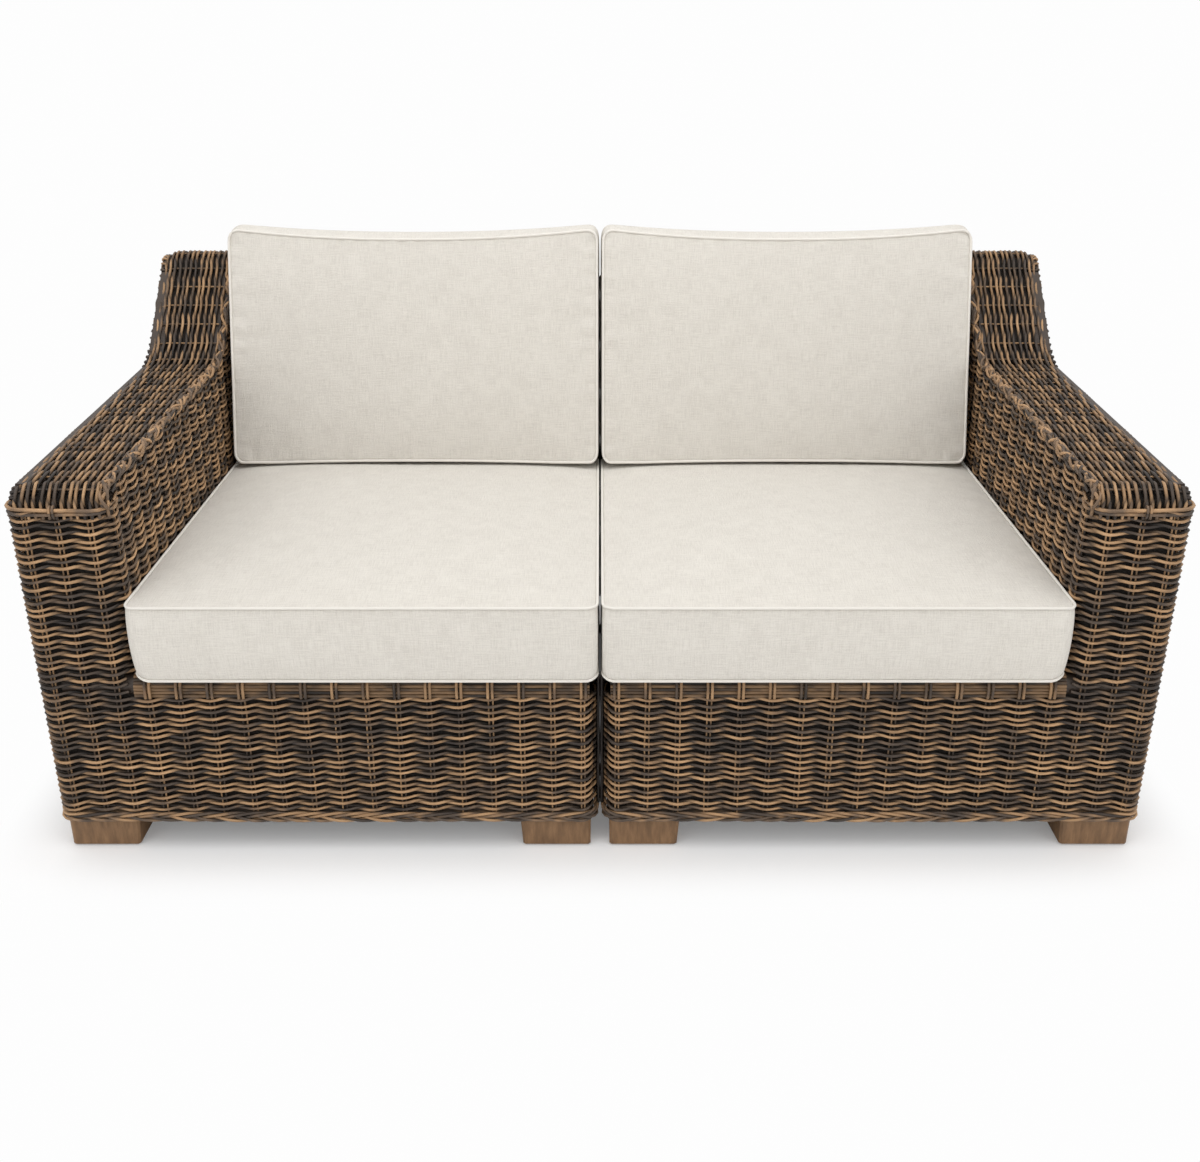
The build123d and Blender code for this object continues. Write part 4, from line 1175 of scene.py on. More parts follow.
def side_sheet(sheets, route, x0, x1, depth, start=0.0):
    """A sheet behind a route in the side view, between two X."""
    run = np.linspace(start, route.length, int(route.length / 0.008))
    inside = side_line(route, run, -depth)[0]
    sheets.strip(in_side_view(inside, x0), in_side_view(inside, x1))


SHADE_INSET, SHADE_FOOT = 0.013, SKIRT_Z - 0.008


def shade_weave(side):
    sheets = Sheets()
    plan_sheet(sheets, skirt, 0.0, OUTER_END, SHADE_FOOT, lambda place: top_at(place[1]) - OUTER_DROP - 0.006)
    plan_sheet(sheets, skirt, OUTER_END, FRONT_END, SHADE_FOOT, LEDGE_Z + 0.004)
    plan_sheet(sheets, skirt, FRONT_END, INNER_END, SHADE_FOOT, RAIL_Z)
    plan_sheet(sheets, skirt, INNER_END, skirt.length, SHADE_FOOT, BACK_TOP_Z - SHADE_INSET)
    plan_sheet(sheets, arm_plan, OUTER_END, ARM_IN_START, arm_front_foot, NOSE_Z + 0.012)
    plan_sheet(sheets, arm_plan, ARM_IN_START, ARM_IN_START + face_y(BACK_TOP_Z) - FRONT_Y - LEG,
               lambda place: max(RAIL_Z, DECK_Z + (place[1] - face_y(DECK_Z)) / math.tan(LEAN)),
               lambda place: top_at(place[1]) - SHADE_INSET, SHADE_DEPTH + 0.001)
    side_sheet(sheets, arm_side, ARM_X + 0.010, OUTER_X - 0.010, SHADE_DEPTH, 0.006)
    side_sheet(sheets, back_side, INNER_X + 0.010, ARM_X + 0.010, SHADE_DEPTH + 0.001)
    side_sheet(sheets, front_ledge, INNER_X + 0.010, ARM_X + 0.004, 0.0068)
    levels = np.linspace(RAIL_Z, BACK_TOP_Z - SHADE_INSET, 30)
    fronts = [face_y(min(z, BACK_TOP_Z - ROLL_R)) + SHADE_DEPTH for z in levels]
    x = np.full(30, INNER_X + SHADE_DEPTH)
    sheets.strip(np.column_stack((x, fronts, levels)),
                 np.column_stack((x, np.full(30, REAR_Y - SHADE_DEPTH - 0.003), levels)))
    piece = mesh_piece(f"{side}_weave_shade", np.concatenate(sheets.points), np.concatenate(sheets.quads),
                       side, wicker_shade, f"{side}_module", True)
    print(piece.name, "faces", len(piece.data.polygons))


for side in SIDES:
    shade_weave(side)

# %% [markdown]
# The cushions are boxed: a top and an underside joined by a band, with piping in both
# seams. Each one starts as a grid whose edge points are the seams, so that after the
# simulation the piping can follow exactly the same points. The grid's lines are closer near
# the seams, where the cloth turns and puckers.


# %% Grid of a boxed cushion
SEAM_LINES = np.array((0.0, 0.0035, 0.009, 0.016, 0.024, 0.032, 0.040, 0.048))
print("lines near a seam, in mm:", (SEAM_LINES * 1000.0).round(1).tolist())


def spaced(length, coarse=0.0135):
    """Grid lines from 0 to a length, closer together near both ends."""
    near, edge = SEAM_LINES, SEAM_LINES[-1]
    middle = np.linspace(edge, length - edge, int(round((length - 2 * edge) / coarse)) + 1)[1:-1]
    return np.concatenate((near, middle, length - near[::-1]))


def drawn_corners(a, b, half_a, half_b, radius):
    """Bring a rectangle's square corners in to quarter circles."""
    da = np.maximum(np.abs(a) - (half_a - radius), 0.0)
    db = np.maximum(np.abs(b) - (half_b - radius), 0.0)
    reach = np.hypot(da, db)
    scale = np.where(reach > 0, np.maximum(da, db) / np.where(reach > 0, reach, 1.0), 1.0)
    both = (da > 0) & (db > 0)
    new_a = np.where(both, np.sign(a) * (half_a - radius + da * scale), a)
    new_b = np.where(both, np.sign(b) * (half_b - radius + db * scale), b)
    return new_a, new_b


class Pad:
    """A boxed cushion in its own axes: a across, b along, n up from the underside. The
    lower seam's outer front corner may be rounder than the others."""

    def __init__(self, width, depth, radius, low_radius, crown, levels, swell):
        lines_a, lines_b = spaced(width), spaced(depth)
        count_a, count_b = len(lines_a), len(lines_b)
        grid_a, grid_b = np.meshgrid(lines_a - width / 2, lines_b - depth / 2, indexing="ij")
        flat_a, flat_b = grid_a.ravel(), grid_b.ravel()
        place_a, place_b = drawn_corners(flat_a, flat_b, width / 2, depth / 2, radius)
        wide = np.where((flat_a > 0) & (flat_b < 0), low_radius, radius)
        under_a, under_b = drawn_corners(flat_a, flat_b, width / 2, depth / 2, wide)
        self.edge = np.minimum(width / 2 - np.abs(flat_a), depth / 2 - np.abs(flat_b))
        dome = (1.0 - (2 * flat_a / width) ** 4) * (1.0 - (2 * flat_b / depth) ** 4)
        under, thickness = levels[0], levels[-1]
        top = np.column_stack((place_a, place_b, thickness + crown * dome))
        low = np.column_stack((under_a, under_b, under * np.exp(-self.edge / 0.012)))
        ring = [i * count_b for i in range(count_a)]
        ring += [(count_a - 1) * count_b + j for j in range(1, count_b)]
        ring += [i * count_b + count_b - 1 for i in range(count_a - 2, -1, -1)]
        ring += [j for j in range(count_b - 2, 0, -1)]
        ring = np.array(ring)
        size, around = len(flat_a), len(ring)
        self.size, self.levels = size, levels
        band, rows = [], [ring + size]
        for row, n in enumerate(levels[1:-1]):
            share = (n - under) / (thickness - under)
            bulge = swell * math.sin(math.pi * share) ** 0.7
            out_a = (under_a + (place_a - under_a) * share)[ring] * (1.0 + 2 * bulge / width)
            out_b = (under_b + (place_b - under_b) * share)[ring] * (1.0 + 2 * bulge / depth)
            band.append(np.column_stack((out_a, out_b, np.full(around, n))))
            rows.append(np.arange(around) + 2 * size + row * around)
        rows.append(ring)
        self.rows = rows
        self.points = np.concatenate([top, low] + band)
        self.half = (width / 2, depth / 2)
        heights = self.points[2 * size:, 2]
        from_seam = np.minimum(heights - under, thickness - heights).clip(0.0)
        beside = width / 2 - np.abs(self.points[:, 0])
        before = depth / 2 - np.abs(self.points[:, 1])
        corner = (1.0 - np.abs(beside - before) / 0.018).clip(0.0)
        self.seam = np.concatenate((self.edge, self.edge, from_seam)) + 0.034 * corner
        sideways = beside < before
        self.along = np.where(sideways, self.points[:, 1], self.points[:, 0] + 5.0)
        i, j = np.meshgrid(np.arange(count_a - 1), np.arange(count_b - 1), indexing="ij")
        first = (i * count_b + j).ravel()
        upper = np.stack((first, first + count_b, first + count_b + 1, first + 1), axis=1)
        faces = [upper, upper[:, ::-1] + size]
        cloth = np.column_stack((flat_a, flat_b))
        maps = [cloth[upper], cloth[upper[:, ::-1]] + 3.0]
        rim = np.column_stack((place_a, place_b))[ring]
        beyond = np.cumsum(np.linalg.norm(np.roll(rim, -1, axis=0) - rim, axis=1))
        far = np.concatenate(([0.0], beyond[:-1]))
        for below, above, n0, n1 in zip(rows, rows[1:], levels, levels[1:]):
            faces.append(np.stack((below, np.roll(below, -1), np.roll(above, -1), above), axis=1))
            corners = [(far, n0), (beyond, n0), (beyond, n1), (far, n1)]
            strip = [np.column_stack((u, np.full(around, n))) for u, n in corners]
            maps.append(np.stack(strip, axis=1) + 7.0)
        self.faces = np.concatenate(faces)
        self.cloth = np.concatenate(maps)


# %% [markdown]
# Cloth simulation fills the cover. The two seams are pinned, pressure inside swells the
# panels and the band between them, and the result is capped, so that no point leaves the
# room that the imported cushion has.


# %% Fill a cover by cloth simulation
def fill_cover(piece, pinned, pressure, cap):
    """Swell a closed mesh between its pinned points; returns the new places."""
    mesh = piece.data
    count = len(mesh.vertices)
    start = np.empty(count * 3)
    mesh.vertices.foreach_get("co", start)
    start = start.reshape(-1, 3)
    group = piece.vertex_groups.new(name="seams")
    group.add([int(index) for index in pinned], 1.0, "REPLACE")
    cloth = piece.modifiers.new("cloth", "CLOTH")
    cloth.settings.quality = 4
    cloth.settings.mass = 0.4
    cloth.settings.tension_stiffness = 22.0
    cloth.settings.compression_stiffness = 12.0
    cloth.settings.shear_stiffness = 6.0
    cloth.settings.bending_stiffness = 1.2
    cloth.settings.vertex_group_mass = "seams"
    cloth.settings.use_pressure = True
    cloth.settings.uniform_pressure_force = pressure
    cloth.settings.effector_weights.gravity = 0.0
    cloth.point_cache.frame_start = 1
    cloth.point_cache.frame_end = 20
    scene = bpy.context.scene
    for number in range(1, 21):
        scene.frame_set(number)
    shaped = piece.evaluated_get(bpy.context.evaluated_depsgraph_get()).data
    end = np.empty(count * 3)
    shaped.vertices.foreach_get("co", end)
    end = end.reshape(-1, 3).copy()
    piece.modifiers.remove(cloth)
    piece.vertex_groups.remove(group)
    scene.frame_set(1)
    move = end - start
    length = np.linalg.norm(move, axis=1)
    print(piece.name, "moved at most", round(float(length.max()) * 1000, 1), "mm, mean",
          round(float(length.mean()) * 1000, 1), "mm")
    scale = np.where(length > 1e-9, cap * np.tanh(length / cap) / np.maximum(length, 1e-9), 0.0)
    return start + move * scale[:, None]


# %% [markdown]
# After the simulation come the small things: puckers where the cloth is gathered into the
# seams, slow hollows in the panels, and the flat places where a cushion rests.


# %% Puckers and hollows
def gathered(pad, points, seed, strength):
    """Puckers near the seams and slow hollows in the panels, in the cushion's own axes."""
    rng = np.random.default_rng(seed)
    half_a, half_b = pad.half
    a, b = pad.points[:, 0], pad.points[:, 1]
    edge = np.minimum(half_a - np.abs(a), half_b - np.abs(b)).clip(0.0)
    on_a = half_a - np.abs(a) < half_b - np.abs(b)
    along = np.where(on_a, b, a)
    pucker = np.zeros(len(a))
    for _ in range(7):
        wave = rng.uniform(95.0, 230.0)
        pucker += rng.uniform(0.4, 1.0) * np.sin(along * wave + rng.uniform(0.0, 6.28))
    pucker *= 0.00095 * strength
    hollow = np.zeros(len(a))
    for _ in range(5):
        way = rng.uniform(0.0, 6.28)
        wave = rng.uniform(8.0, 19.0)
        hollow += np.sin((a * math.cos(way) + b * math.sin(way)) * wave + rng.uniform(0.0, 6.28))
    moved = points.copy()
    panel = np.arange(len(a)) < pad.size
    fade = np.exp(-edge / 0.024) * (1.0 - np.exp(-edge / 0.005))
    moved[:, 2] += np.where(panel, pucker * fade * 2.2 + hollow * 0.0007 * (1 - np.exp(-edge / 0.05)), 0.0)
    band = np.arange(len(a)) >= 2 * pad.size
    low, high = pad.levels[0], pad.levels[-1]
    n = pad.points[:, 2]
    near = np.exp(-(high - n).clip(0.0) / 0.018) + np.exp(-(n - low).clip(0.0) / 0.018)
    near *= np.where((high - n < 0.001) | (n - low < 0.001), 0.0, 0.5)
    moved[:, 0] += np.where(band & on_a, np.sign(a) * pucker * near, 0.0)
    moved[:, 1] += np.where(band & ~on_a, np.sign(b) * pucker * near, 0.0)
    return moved


# %% [markdown]
# The cloth is an off-white outdoor linen: two sets of threads, each a little uneven, with
# slubs that run along them, and a faint mottling from the dye. The map of the cover is in
# metres, so the threads keep their size on every panel. The bands have it turned as they
# are cut.

# %% Linen and its piping
LINEN_LIGHT = (0.780, 0.742, 0.676)
LINEN_SHADE = (0.655, 0.616, 0.555)
THREAD = 0.00125


def linen_finish(name, light, shade):
    shader = Shader(name)
    cloth = shader.node("ShaderNodeUVMap", settings={"uv_map": "Cloth"})
    u, v = shader.split(cloth)
    slub_u = shader.noise(shader.combined(u * 700.0, v * 36.0), 1.0, 2.0, 0.6)
    slub_v = shader.noise(shader.combined(u * 36.0, v * 700.0, 5.0), 1.0, 2.0, 0.6)
    mottle = shader.noise(cloth, 22.0, 3.0, 0.55)
    fine = shader.noise(cloth, 420.0, 2.0, 0.6)
    threads = u.ripple(THREAD) * v.ripple(THREAD) * 0.5 + 0.5
    seam = shader.carried("Seam")
    fade = (1.0 - seam * 30.0).at_least(0.0)
    creases = shader.noise(shader.combined(shader.carried("Along") * 62.0, seam * 14.0), 1.0, 2.0, 0.55)
    gathers = (creases - 0.5) * fade * fade * 7.0
    tone = (slub_u - 0.5) * 2.0 + (slub_v - 0.5) * 2.0 + (mottle - 0.5) * 0.9 + (fine - 0.5) * 1.3 + 0.36
    shader.paint(tone.at_least(0.0).at_most(1.0), light, shade, 0.86 + fine * 0.08)
    shader.surface.inputs["Sheen Weight"].default_value = 0.15
    shader.surface.inputs["Sheen Roughness"].default_value = 0.5
    shader.surface.inputs["Specular IOR Level"].default_value = 0.25
    shader.bump(threads * 0.4 + slub_u * 0.9 + slub_v * 0.9 + fine * 0.6 + gathers, 0.9, 0.0009)
    return shader.material


linen = linen_finish("linen", LINEN_LIGHT, LINEN_SHADE)


def piping_finish():
    shader = Shader("linen_piping")
    grain = shader.noise(shader.places(), 900.0, 2.0, 0.6)
    mottle = shader.noise(shader.places(), 30.0, 2.0, 0.5)
    shader.paint(grain * 0.7 + mottle * 0.3, (0.800, 0.768, 0.712), (0.690, 0.654, 0.594), 0.88)
    shader.surface.inputs["Sheen Weight"].default_value = 0.15
    shader.bump(grain, 0.5, 0.0005)
    return shader.material


linen_piping = piping_finish()
print("cushion finishes:", linen.name, linen_piping.name)


PIPING_SIDES = 8


def piping(name, body, spots, radius):
    """A corded edge swept along a seam, as a tube mesh."""
    ahead = np.roll(spots, -1, axis=0) - np.roll(spots, 1, axis=0)
    ahead /= np.linalg.norm(ahead, axis=1)[:, None]
    out = spots - spots.mean(axis=0)
    out -= (out * ahead).sum(1)[:, None] * ahead
    out /= np.linalg.norm(out, axis=1)[:, None]
    across = np.cross(ahead, out)
    corners = np.arange(PIPING_SIDES)
    turn = corners * 2.0 * math.pi / PIPING_SIDES
    spoke = np.cos(turn)[None, :, None] * out[:, None, :] + np.sin(turn)[None, :, None] * across[:, None, :]
    points = spots[:, None, :] + radius * spoke
    ring = np.arange(len(spots))[:, None] * PIPING_SIDES
    first, beside = ring + corners, ring + (corners + 1) % PIPING_SIDES
    quads = np.stack((first, beside, np.roll(beside, -1, axis=0), np.roll(first, -1, axis=0)), axis=2)
    mesh_piece(name, points.reshape(-1, 3), quads.reshape(-1, 4), "right", linen_piping, body,
               True)


# %% [markdown]
# Seat and back cushion differ only in their sizes and axes. The back cushion's axes lean
# with the back, its foot is cut level to stand on the seat cushion, and its top edge sags
# between the corners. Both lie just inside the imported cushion's box. One small function does
# each step, so that the two kinds share whatever is the same.

# %% Sizes of the two cushions
CUSHION_X0, CUSHION_X1 = 0.001, ARM_X - 0.0015
SEAT_FRONT_Y, SEAT_REAR_Y = FRONT_Y - 0.024, face_y(DECK_Z) - 0.003
SEAT_LOW_Z = DECK_Z + 0.0003
CUSHION_TOP_Z = 0.910
BACK_FOOT_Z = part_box("right_back_cushion_cover")[0].z
BACK_NORMAL = (0.0, -math.cos(LEAN), math.sin(LEAN))
BACK_UP = (0.0, math.sin(LEAN), math.cos(LEAN))
BACK_ORIGIN = (0.0, face_y(DECK_Z), DECK_Z)
BACK_FRONT_N = 0.1254
back_low_v = (BACK_FOOT_Z - DECK_Z - BACK_FRONT_N * math.sin(LEAN)) / math.cos(LEAN)
back_high_v = (CUSHION_TOP_Z - DECK_Z - BACK_FRONT_N * math.sin(LEAN)) / math.cos(LEAN)
print("back cushion foot at", round(BACK_FOOT_Z, 4), "v", round(back_low_v, 4), round(back_high_v, 4))
ZIP_FROM, ZIP_TO = CUSHION_X0 + 0.069, CUSHION_X1 - 0.069
ZIP_SINK = 0.0088
SEAM_SINK = 0.0016
FRONT_HANG = 0.0060


def zip_rows(low, high, zip_n):
    """Levels of the band, with a slot's edges at the zip."""
    below = np.linspace(low + 0.0045, zip_n - 0.007, 5)
    above = np.linspace(zip_n + 0.007, high - 0.0045, 5)
    return [low] + list(below) + [zip_n - 0.0048, zip_n + 0.0048] + list(above) + [high]


CUSHIONS = {
    "seat": {"margin": 0.006, "zip_n": 0.066, "thickness": 0.126, "radii": (0.018, 0.026), "under": 0.004,
             "puckers": 0.55, "seam_share": 1.8, "piping_r": 0.0024, "seams": ("low", "top")},
    "back": {"margin": 0.018, "zip_n": 0.0625, "thickness": 0.1245, "radii": (0.022, 0.022), "under": 0.0065,
             "puckers": 1.0, "seam_share": 1.0, "piping_r": 0.0027, "seams": ("rear", "front")},
}
CROWN, SWELL = 0.008, 0.004
PRESSURE, MOST_MOVE = 3.2, 0.020
MIDDLE_X = (CUSHION_X0 + CUSHION_X1) / 2


# %% [markdown]
# Each step of shaping is a small function on the array of points. The back cushion's foot
# and ridge are cut before the cloth is simulated, and what has to touch the seat, the zip or
# the box is put in its place after it.


# %% Steps that shape a cushion
def cushion_axes(kind):
    """The cushion's length along its second axis, its three axes and where they start."""
    if kind == "seat":
        origin = np.array((MIDDLE_X, (SEAT_FRONT_Y + SEAT_REAR_Y) / 2, SEAT_LOW_Z))
        return SEAT_REAR_Y - SEAT_FRONT_Y - 0.016, np.eye(3), origin
    origin = (np.array(BACK_ORIGIN) + np.array(BACK_UP) * (back_low_v + back_high_v) / 2
              + np.array((MIDDLE_X - 0.004, 0.0, 0.0)))
    return back_high_v - back_low_v, np.array(((1.0, 0.0, 0.0), BACK_UP, BACK_NORMAL)), origin


def shape_back(start, width, depth, thickness):
    """Cut the back cushion's foot level, and let its top edge sag between the corners."""
    across = 1.0 - np.abs(2.0 * start[:, 0] / width).clip(0.0, 1.0) ** 2.2
    share = ((start[:, 1] + depth / 2) / depth).clip(0.0, 1.0)
    lift = (BACK_FRONT_N - start[:, 2]) * math.tan(LEAN)
    through = (start[:, 2] / thickness).clip(0.0, 1.0)
    ridge = np.sin(math.pi * through) ** 0.8
    start[:, 1] += lift * (1.0 - share)
    start[:, 1] += (0.004 + (0.013 + 0.004 * across) * ridge - 0.020 * across) * share ** 6
    start[:, 1] += 0.0065 * across * (1.0 - share) ** 12 * through ** 10
    start[:, 0] -= 0.004 * share * (start[:, 0] > 0.0) * (2.0 * start[:, 0] / width)


def sink_seams(pad, local):
    """Draw both seams in, so that the piping lies in a groove."""
    for row, way in ((pad.rows[0], 1.0), (pad.rows[-1], -1.0)):
        reach = np.hypot(local[row, 0], local[row, 1])
        local[row, :2] *= (1.0 - SEAM_SINK / reach)[:, None]
        local[row, 2] += way * SEAM_SINK


def zip_slot(pad, kind, zip_n):
    """Which points are pressed in to the zip, and which are the slot's edges."""
    a, n = pad.points[:, 0], pad.points[:, 2]
    zip_side = pad.points[:, 1] * (1.0 if kind == "seat" else -1.0) > pad.half[1] - 0.0005
    on_band = zip_side & (np.arange(len(a)) >= 2 * pad.size)
    slot = on_band & (a > ZIP_FROM - MIDDLE_X - 0.004) & (a < ZIP_TO - MIDDLE_X + 0.004)
    off = np.abs(n - zip_n)
    return slot & (off < 0.006), slot & (np.abs(off - 0.007) < 0.0005)


def rest_seat(pad, local, pressed, beside, thickness):
    """Keep the seat cushion in its box, and let its front edge hang over the rail."""
    half_y = (SEAT_REAR_Y - SEAT_FRONT_Y) / 2 - 0.001
    local[:, 1] = local[:, 1].clip(-half_y, half_y)
    local[pressed, 1] = half_y - ZIP_SINK
    local[beside, 1] = half_y - 0.0012
    local[pressed | beside, 2] = pad.points[pressed | beside, 2]
    over = np.exp(-(pad.points[:, 1] + pad.half[1]) / 0.006)
    local[:, 2] -= FRONT_HANG * over * (1.0 - pad.points[:, 2] / thickness).clip(0.0, 1.0)


def rest_back(world, pressed, beside):
    """Stand the back cushion's foot flat on the seat cushion."""
    world[:, 2] = world[:, 2].clip(BACK_FOOT_Z + 0.0004, None)
    world[pressed, 2] = BACK_FOOT_Z + ZIP_SINK
    world[beside, 2] = BACK_FOOT_Z + 0.0006


def pipe_seams(side, kind, pad, world, normal):
    """Piping in both seams, from the points of the finished cover."""
    radius = CUSHIONS[kind]["piping_r"]
    for name, row, way in zip(CUSHIONS[kind]["seams"], (pad.rows[0], pad.rows[-1]), (1.0, -1.0)):
        spots = world[row]
        away = spots - world.mean(axis=0)
        away -= (away @ normal)[:, None] * normal
        away /= np.linalg.norm(away, axis=1)[:, None]
        spots = spots + (away - normal * way) * 0.0014
        if kind == "back":
            spots[:, 2] = spots[:, 2].clip(BACK_FOOT_Z + radius, None)
        piping(f"{side}_{kind}_{name}_piping", f"{side}_{kind}_cushion", spots, radius)


# %% [markdown]
# With these steps at hand a cushion is made in one order: the grid, the cloth that swells
# it, the puckers, the places where it rests, and last the piping in its seams.


# %% The four cushions
def make_cushion(side, kind, seed):
    sizes = CUSHIONS[kind]
    thickness = sizes["thickness"]
    width = CUSHION_X1 - CUSHION_X0 - sizes["margin"]
    depth, axes, origin = cushion_axes(kind)
    levels = zip_rows(sizes["under"], thickness, sizes["zip_n"])
    pad = Pad(width, depth, *sizes["radii"], CROWN, levels, SWELL)
    start = pad.points.copy()
    if kind == "back":
        shape_back(start, width, depth, thickness)
    piece = mesh_piece(f"{side}_{kind}_cushion_linen", start @ axes + origin, pad.faces, "right", linen,
                       f"{side}_{kind}_cushion", True)
    cloth_map = piece.data.uv_layers.new(name="Cloth")
    cloth_map.data.foreach_set("uv", pad.cloth.ravel())
    for label, values in (("Seam", pad.seam * sizes["seam_share"]), ("Along", pad.along)):
        piece.data.attributes.new(label, "FLOAT", "POINT").data.foreach_set("value", values)
    swollen = fill_cover(piece, np.concatenate((pad.rows[0], pad.rows[-1])), PRESSURE, MOST_MOVE)
    local = gathered(pad, (swollen - origin) @ axes.T, seed, sizes["puckers"])
    sink_seams(pad, local)
    half_x = (CUSHION_X1 - CUSHION_X0) / 2 - 0.0022
    local[:, 0] = local[:, 0].clip(-half_x, half_x)
    print(f"{side}_{kind}_cushion_linen reaches", np.round(np.abs(local).max(axis=0), 4))
    local[:, 2] = local[:, 2].clip(0.0006, None)
    pressed, beside = zip_slot(pad, kind, sizes["zip_n"])
    if kind == "seat":
        rest_seat(pad, local, pressed, beside, thickness)
    world = local @ axes + origin
    if kind == "back":
        rest_back(world, pressed, beside)
    if SIDES[side] < 0:
        world = world * np.array((-1.0, 1.0, 1.0))
        piece.data.flip_normals()
    piece.data.vertices.foreach_set("co", world.ravel())
    piece.data.update()
    smooth = piece.modifiers.new("smooth", "SUBSURF")
    smooth.levels = smooth.render_levels = 1
    smooth.uv_smooth = "PRESERVE_BOUNDARIES"
    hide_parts(f"{side}_{kind}_cushion_cover")
    pipe_seams(side, kind, pad, world, axes[2])
    print(piece.name, "points", len(world))


for number, side in enumerate(SIDES):
    make_cushion(side, "seat", 11 + number)
    make_cushion(side, "back", 21 + number)

# %% [markdown]
# Each cover opens with a coil zip: two woven tapes meet edge to edge, and a row of fine
# teeth crosses between them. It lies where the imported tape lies, at the bottom of the slot
# pressed into the band.


# %% Zips
RIB_PITCH = 0.0011


def zip_finish():
    shader = Shader("zip_tape")
    ribs = shader.split(shader.places())[0].ripple(RIB_PITCH)
    fuzz = shader.noise(shader.places(), 1500.0, 2.0, 0.6)
    shader.paint(ribs * 0.25 + fuzz * 0.6, (0.640, 0.600, 0.530), (0.480, 0.445, 0.385), 0.8)
    shader.bump(ribs + fuzz, 0.4, 0.0003)
    return shader.material


zip_tape = zip_finish()
TOOTH_PITCH, TOOTH_R = 0.002, 0.00034
TAPE_IN, TAPE_OUT, TAPE_THICK = 0.0003, 0.0044, 0.0012


def make_zip(side, kind):
    low, high = (np.array(corner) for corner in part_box(f"{side}_{kind}_cushion_zip"))
    out, across = (1, 2) if kind == "seat" else (2, 1)
    facing = 1.0 if kind == "seat" else -1.0
    face = high[1] if kind == "seat" else low[2]
    middle = (low[across] + high[across]) / 2
    strips = Sheets()
    for way in (-1.0, 1.0):
        near, far = middle + way * TAPE_IN, middle + way * TAPE_OUT
        under = face - facing * TAPE_THICK
        outline = [(near, face), (far, face), (far, under), (near, under)]
        lines = []
        for place_across, place_out in outline + outline[:1]:
            line = np.zeros((121, 3))
            line[:, 0] = np.linspace(low[0], high[0], 121)
            line[:, across] = place_across + 0.0001 * np.sin(line[:, 0] * 260.0)
            line[:, out] = place_out
            lines.append(line)
        for first, second in zip(lines, lines[1:]):
            strips.strip(first, second)
    mesh_piece(f"{side}_{kind}_zip_tapes", np.concatenate(strips.points), np.concatenate(strips.quads),
               "right", zip_tape, f"{side}_{kind}_cushion")
    teeth = Bundle()
    outward = np.zeros((2, 3))
    outward[:, out] = facing
    for number, x in enumerate(np.arange(low[0] + 0.003, high[0] - 0.003, TOOTH_PITCH)):
        line = np.zeros((2, 3))
        line[:, 0] = (x - 0.0004, x + 0.0004)
        line[:, across] = (middle - 0.0022, middle + 0.0022)
        line[:, out] = face
        teeth.strand(line, outward, TOOTH_R, number, capped=True)
    teeth.build(side, f"{kind}_zip_teeth", f"{kind}_cushion_zip", zip_tape, f"{kind}_cushion",
                mirror=False)


for side in SIDES:
    for kind in ("seat", "back"):
        make_zip(side, kind)

# %% [markdown]
# The frame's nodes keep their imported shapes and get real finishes. The frame is aluminium
# tube with a dark brown powder coat, the feet are an oiled hardwood, the glides rubber, the
# bolts and link plates zinc-plated steel, the straps a woven webbing, and the foam shows its
# cells.


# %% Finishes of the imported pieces
WEBBING_PITCH = 0.0022


def coated_frame():
    shader = Shader("brown_powder_coat")
    grain = shader.noise(shader.places(), 1400.0, 2.0, 0.6)
    wide = shader.noise(shader.places(), 9.0, 2.0, 0.5)
    shader.paint(wide * 0.6 + grain * 0.4, (0.030, 0.020, 0.014), (0.062, 0.042, 0.030), 0.42 + grain * 0.2)
    shader.bump(grain, 0.25, 0.0004)
    return shader.material


def oiled_wood():
    shader = Shader("oiled_hardwood")
    rings = shader.noise(shader.stretched(26.0, 26.0, 5.0), 4.0, 5.0, 0.62)
    pores = shader.noise(shader.stretched(900.0, 900.0, 60.0), 1.0, 2.0, 0.6)
    colour = shader.node("ShaderNodeValToRGB", Fac=rings, stops=[
        (0.30, (0.130, 0.068, 0.028)),
        (0.50, (0.200, 0.107, 0.046)),
        (0.70, (0.262, 0.146, 0.066)),
    ])
    shader.paint((pores - 0.55) * 2.0, colour, (0.090, 0.045, 0.020), 0.46 + pores * 0.2)
    shader.bump(pores * 0.6 + rings * 0.4, 0.3, 0.0004)
    return shader.material


def black_rubber():
    shader = Shader("glide_rubber")
    grain = shader.noise(shader.places(), 600.0, 2.0, 0.6)
    shader.paint(grain, (0.012, 0.012, 0.012), (0.030, 0.029, 0.028), 0.7 + grain * 0.2)
    shader.bump(grain, 0.3, 0.0003)
    return shader.material


def zinc_steel(name, light, dark):
    shader = Shader(name)
    brushed = shader.noise(shader.stretched(40.0, 900.0, 900.0), 1.0, 3.0, 0.6)
    spangle = shader.noise(shader.places(), 120.0, 2.0, 0.5)
    shader.paint(spangle, light, dark, 0.28 + brushed * 0.22)
    shader.surface.inputs["Metallic"].default_value = 1.0
    shader.bump(brushed, 0.15, 0.0002)
    return shader.material


def strap_webbing():
    shader = Shader("woven_webbing")
    x, y = shader.split(shader.places())
    weave = x.ripple(WEBBING_PITCH) * y.ripple(WEBBING_PITCH) * 0.5 + 0.5
    fuzz = shader.noise(shader.places(), 500.0, 2.0, 0.6)
    shader.paint(weave * 0.6 + fuzz * 0.4, (0.010, 0.010, 0.011), (0.048, 0.046, 0.045), 0.8)
    shader.bump(weave + fuzz * 0.3, 0.6, 0.0006)
    return shader.material


